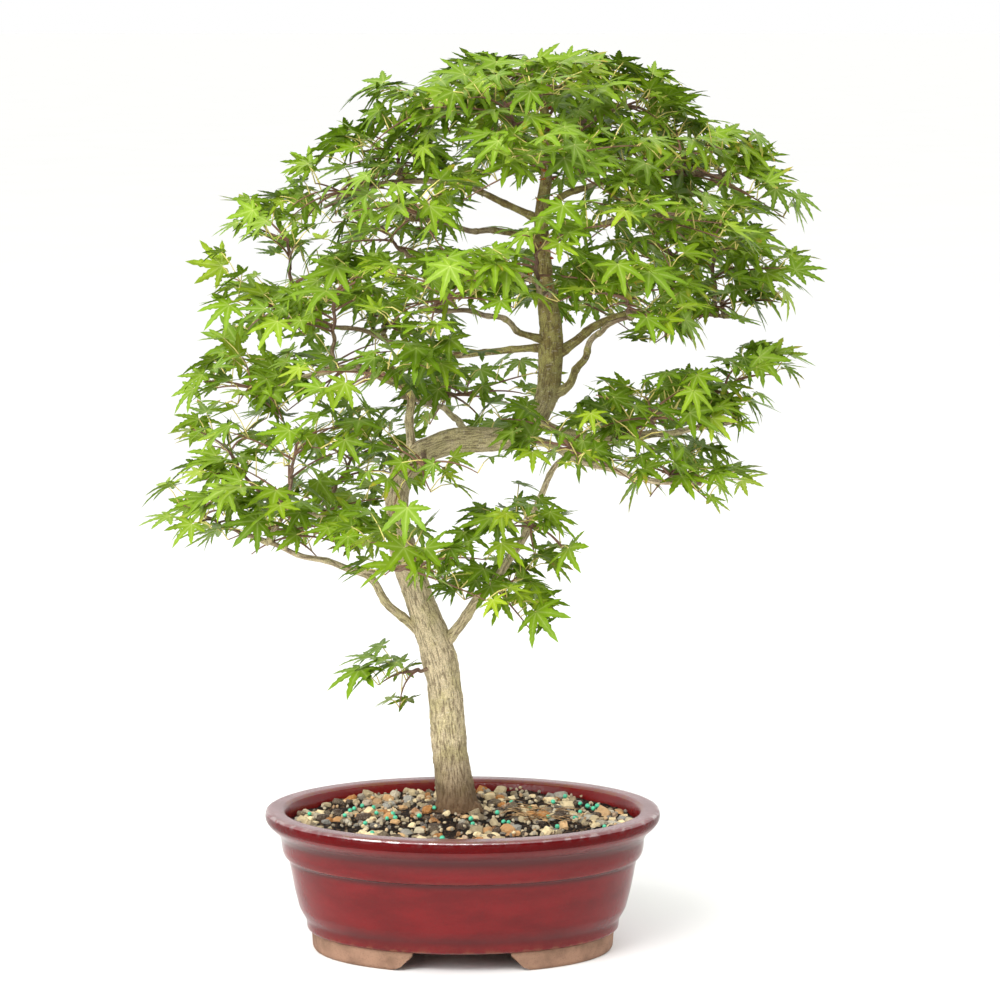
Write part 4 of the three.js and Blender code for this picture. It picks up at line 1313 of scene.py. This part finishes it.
def shoots(settings, name, number, rng, twig):
    """The start, knee and end of each shoot of a spray: from the twig, up and over, to the layer's edge."""
    _, half = spray_frame(name)
    small = min(1.0, float(half[0]) / (50 * MM))
    share, end = shoot_ends(name, number, max(2, round(settings.shoots * small ** 1.6)))
    clear = ~in_the_open(end)
    if clear.sum() > 1:
        share, end = share[clear], end[clear]
    count = len(end)
    hub = mixed(twig[1], twig[2], share[:, None])
    sway = [rng.normal(0, 3, count), rng.normal(0, 3, count), rng.uniform(2, 9, count)]
    return hub, mixed(hub, end, 0.5) + np.stack(sway, axis=1) * MM, end


def leaf_stalks(settings, rng, hub, knee, end):
    """Where each leaf's stalk leaves its shoot and where it ends, the way its blade faces on the level, and
    whether it is at the shoot's end. A pair stands at each bud, one to either hand. Some are left out: at
    random, mostly at the left, in the open spots, and where the blade would reach past the crown."""
    buds = np.linspace(0.4, 1, settings.pairs + 1)
    share = np.tile(np.repeat(buds, 2), len(end))
    shoot = np.repeat(np.arange(len(end)), 2 * len(buds))
    hand = np.tile([1.0, -1.0], len(end) * len(buds))
    last = share > 0.99
    total = len(share)
    share = np.clip(share + rng.normal(0, 0.03, total), 0, 1)[:, None]
    base = bowed(hub[shoot], knee[shoot], end[shoot], share)
    run = unit(mixed(knee[shoot] - hub[shoot], end[shoot] - knee[shoot], share))
    turned = np.radians(np.where(last, rng.uniform(10, 45, total), rng.uniform(40, 85, total)) * hand)
    x, y, _ = unit(run * LEVEL).T
    cos, sin = np.cos(turned), np.sin(turned)
    way = unit(np.stack([x * cos - y * sin, x * sin + y * cos, rng.uniform(0, 1.5, total)], axis=1))
    length = settings.stalk * rng.uniform(0.65, 1.4, total) * np.where(last, 0.75, 1)
    tip = base + way * length[:, None]
    out = unit((tip - CROWN_MIDDLE * MM) * LEVEL)
    forward = unit((way + out) * LEVEL * 0.5 + rng.normal(0, 0.34, (total, 3)) * LEVEL)

    low, high = np.array(CAD_BOX)
    room = ROOM_SHARE * (high - low) + ROOM * MM
    far = tip + forward * settings.lobe
    fits = ((far > low - room) & (far < high + room)).all(axis=1) & (tip[:, 2] < high[2])
    thinned = rng.random(total) < THINNED + THINNED_LEFT * swell(-tip[:, 0], 0, 70 * MM)
    keep = fits & ~thinned & ~in_the_open(tip + forward * settings.lobe * 0.4)
    return base[keep], tip[keep], forward[keep], last[keep]


def leaf_blades(settings, rng, template, tip, forward, last):
    """The blades at the stalks' tips: pitched down and rolled, smaller where they are young, each with its
    own droop and fold. Returns the points, the faces and how young each leaf is."""
    total = len(tip)
    shape, _, reach, faces = template
    pitch = np.radians(np.clip(rng.normal(16, 21, total), -20, 80))[:, None]
    forward = forward * np.cos(pitch) - UPRIGHT * np.sin(pitch)
    side = unit(np.cross(UPRIGHT, forward))
    roll = rng.normal(0, 0.42, total)[:, None]
    normal = np.cross(forward, side) * np.cos(roll) + side * np.sin(roll)
    young = np.where(last, rng.uniform(0, 1, total) ** 2.2, rng.uniform(0, 0.2, total))
    size = settings.lobe * rng.normal(1, 0.17, total).clip(0.6, 1.35) * mixed(1.0, 0.72, young)
    curl, fold = rng.uniform(0.05, 0.42, total), rng.uniform(0.05, 0.45, total)
    points = leaf_copies(shape, reach, tip, forward, normal, size, curl, fold)
    first = (np.arange(total) * len(shape))[:, None, None]
    return points, [(group[None] + first).reshape(-1, group.shape[1]) for group in faces], young


def leaf_looks(rng, reach, tip, young):
    """Each blade point's look: how lit its leaf is, more so at the crown's edge, how young, and how dry
    towards the ends of the lobes."""
    total = len(tip)
    depth = np.clip(np.linalg.norm((tip / MM - [20, 0, 400]) / [190, 150, 170], axis=1), 0, 1)
    lit = np.clip(0.25 + 0.6 * depth + rng.normal(0, 0.2, total), 0, 1)
    turning = rng.random(total) < 0.05 + 0.12 * (tip[:, 0] > 90 * MM)
    dry = np.where(turning, rng.uniform(0.3, 1, total), 0)[:, None] * swell(reach, 0.5, 1.0)
    return np.stack([lit[:, None] + 0 * dry, young[:, None] + 0 * dry, dry], axis=2).reshape(-1, 3)


def spray(settings, template, name, number, materials, twig):
    """One spray: shoots that reach out from the layer's middle and droop, with a pair of leaves at each bud
    and a younger pair at each end."""
    rng = np.random.default_rng(SEEDS["leaves"] + number)
    hub, knee, end = shoots(settings, name, number, rng, twig)
    share = np.linspace(0, 1, 9)[None, :, None]
    thick = np.linspace(0.85, 0.36, 9) * MM + np.zeros((len(end), 1))
    shoot_part = tubes(bowed(hub[:, None], knee[:, None], end[:, None], share), thick, 5)[:2]

    base, tip, forward, last = leaf_stalks(settings, rng, hub, knee, end)
    middle = mixed(base, tip, 0.5) + UPRIGHT * 1.5 * MM
    thick = np.array([0.5, 0.4, 0.4]) * MM + np.zeros((len(tip), 1))
    stalk_part = tubes(np.stack([base, middle, tip], axis=1), thick, 3)[:2]

    blade_points, blade_faces, young = leaf_blades(settings, rng, template, tip, forward, last)
    look = leaf_looks(rng, template[2], tip, young)
    parts = [(blade_points, blade_faces), shoot_part, stalk_part]
    points, faces = join(parts)
    finish = np.repeat([0, 1, 1], [sum(len(group) for group in part[1]) for part in parts])
    look = np.concatenate([look, np.zeros((len(points) - len(look), 3))])
    rib = np.concatenate([
        np.tile(template[1], len(tip)), np.zeros(len(shoot_part[0])), np.ones(len(stalk_part[0]))])
    return make_piece("spray_" + name.removeprefix("leaves_"), points, faces, materials,
                      smooth=finish == 1, fields={"look": look, "rib": rib}, finish=finish)


# ------------------------------------------------------------------------------ Stage


# The lights: place, the point they face and size in metres, and power in watts.
LIGHTS = {
    "key": ((-1.3, -1.7, 1.5), (0, 0, 0.3), (1.7, 1.7), 56),
    "fill": ((1.6, -1.2, 1.2), (0, 0, 0.3), (1.4, 1.4), 6),
    "strip": ((-0.5, -1.8, 1.8), (0, 0, 0.2), (2.4, 0.14), 24),
}

# Half the floor's width, in metres.
FLOOR_REACH = 90.0


def soft_light(name, place, aim, size, power):
    """An area light that faces a point."""
    data = bpy.data.lights.new(name, "AREA")
    data.shape = "RECTANGLE"
    data.size, data.size_y = size
    data.energy = power
    lamp = bpy.data.objects.new(name, data)
    lamp.location = place
    way = Vector(aim) - Vector(place)
    lamp.rotation_euler = way.to_track_quat("-Z", "Y").to_euler()
    bpy.context.scene.collection.objects.link(lamp)


def studio_world():
    """A white studio: bright overhead, behind and at both sides, and darker low down in front, where the
    room is. The camera sees it as plain white."""
    world = bpy.data.worlds.new("Studio")
    world.use_nodes = True
    tree = world.node_tree
    lit = tree.nodes["Background"]
    place = put(tree, "ShaderNodeTexCoord").outputs["Generated"]
    way = put(tree, "ShaderNodeSeparateXYZ", {0: place}).outputs
    front = put(tree, "ShaderNodeMapRange", {"Value": way["Y"], "From Min": 0.1, "From Max": -0.7},
                interpolation_type="SMOOTHSTEP").outputs["Result"]
    low = put(tree, "ShaderNodeMapRange", {"Value": way["Z"], "From Min": 0.75, "From Max": 0.2},
              interpolation_type="SMOOTHSTEP").outputs["Result"]
    room = sum_of(tree, "MULTIPLY", front, low)
    colour = blended(tree, room, (1.2, 1.2, 1.2, 1), (0.45, 0.45, 0.45, 1))
    tree.links.new(colour, lit.inputs["Color"])
    plain = put(tree, "ShaderNodeBackground", {"Color": (1, 1, 1, 1)})
    seen = put(tree, "ShaderNodeLightPath").outputs["Is Camera Ray"]
    shown = put(tree, "ShaderNodeMixShader", {0: seen, 1: lit.outputs[0], 2: plain.outputs[0]})
    tree.links.new(shown.outputs[0], tree.nodes["World Output"].inputs["Surface"])
    return world


class BONSAI_OT_stage(bpy.types.Operator):
    """Makes the pale floor, the soft light and the camera"""
    bl_idname = "bonsai.stage"
    bl_label = "Stage"

    def execute(self, context):
        settings = context.scene.bonsai_stage
        made, tree, shader = new_material("Pale floor", roughness=0.9, specular_ior_level=0.1)
        place = object_place(tree)
        cloud = grouped(tree, "Mottle", vector=place, size=3, low=0.3, high=0.7)
        colour = blended(tree, cloud, settings.floor, scaled(settings.floor, 0.985))
        tree.links.new(colour, shader.inputs["Base Color"])
        corners = np.array([[-1, -1, 0], [1, -1, 0], [1, 1, 0], [-1, 1, 0]]) * FLOOR_REACH
        floor = make_piece("floor", corners, [np.array([[0, 1, 2, 3]])], [made], smooth=False)

        context.scene.world = studio_world()
        for name, light in LIGHTS.items():
            soft_light(name, *light)

        data = bpy.data.cameras.new("camera")
        data.lens = settings.lens
        data.clip_end = 400
        camera = bpy.data.objects.new("camera", data)
        camera.location = (settings.across, -settings.distance, settings.height)
        camera.rotation_euler = (math.pi / 2 - settings.pitch, 0, 0)
        context.scene.collection.objects.link(camera)
        context.scene.camera = camera
        context.scene.view_settings.view_transform = "Standard"
        return {"FINISHED"}


class BONSAI_PT_panel(bpy.types.Panel):
    """Sizes and colours of the bonsai, and a button for each piece"""
    bl_label = "Bonsai maple"
    bl_idname = "BONSAI_PT_panel"
    bl_space_type = "VIEW_3D"
    bl_region_type = "UI"
    bl_category = "Bonsai"

    def draw(self, context):
        for operator, settings in STEPS:
            box = self.layout.box()
            box.operator(operator.bl_idname)
            group = getattr(context.scene, settings)
            for key in group.bl_rna.properties.keys():
                if key not in ("rna_type", "name"):
                    box.prop(group, key)


SETTINGS = {
    "bonsai_pot": BonsaiPotSettings,
    "bonsai_gravel": BonsaiGravelSettings,
    "bonsai_wood": BonsaiWoodSettings,
    "bonsai_leaf": BonsaiLeafSettings,
    "bonsai_stage": BonsaiStageSettings,
}
STEPS = [
    (BONSAI_OT_pot, "bonsai_pot"),
    (BONSAI_OT_gravel, "bonsai_gravel"),
    (BONSAI_OT_wood, "bonsai_wood"),
    (BONSAI_OT_leaves, "bonsai_leaf"),
    (BONSAI_OT_stage, "bonsai_stage"),
]
CLASSES = [*SETTINGS.values(), *(operator for operator, _ in STEPS), BONSAI_PT_panel]


def register():
    """Registers the classes and the settings on the scene."""
    for each in CLASSES:
        bpy.utils.register_class(each)
    for key, group in SETTINGS.items():
        setattr(bpy.types.Scene, key, PointerProperty(type=group))


def unregister():
    """Removes the settings and the classes."""
    for key in SETTINGS:
        delattr(bpy.types.Scene, key)
    for each in reversed(CLASSES):
        bpy.utils.unregister_class(each)


def main():
    register()
    mottle_group()
    speckle_group()
    bpy.ops.bonsai.pot()
    bpy.ops.bonsai.gravel()
    bpy.ops.bonsai.wood()
    bpy.ops.bonsai.leaves()
    bpy.ops.bonsai.stage()


if __name__ == "__main__":
    main()
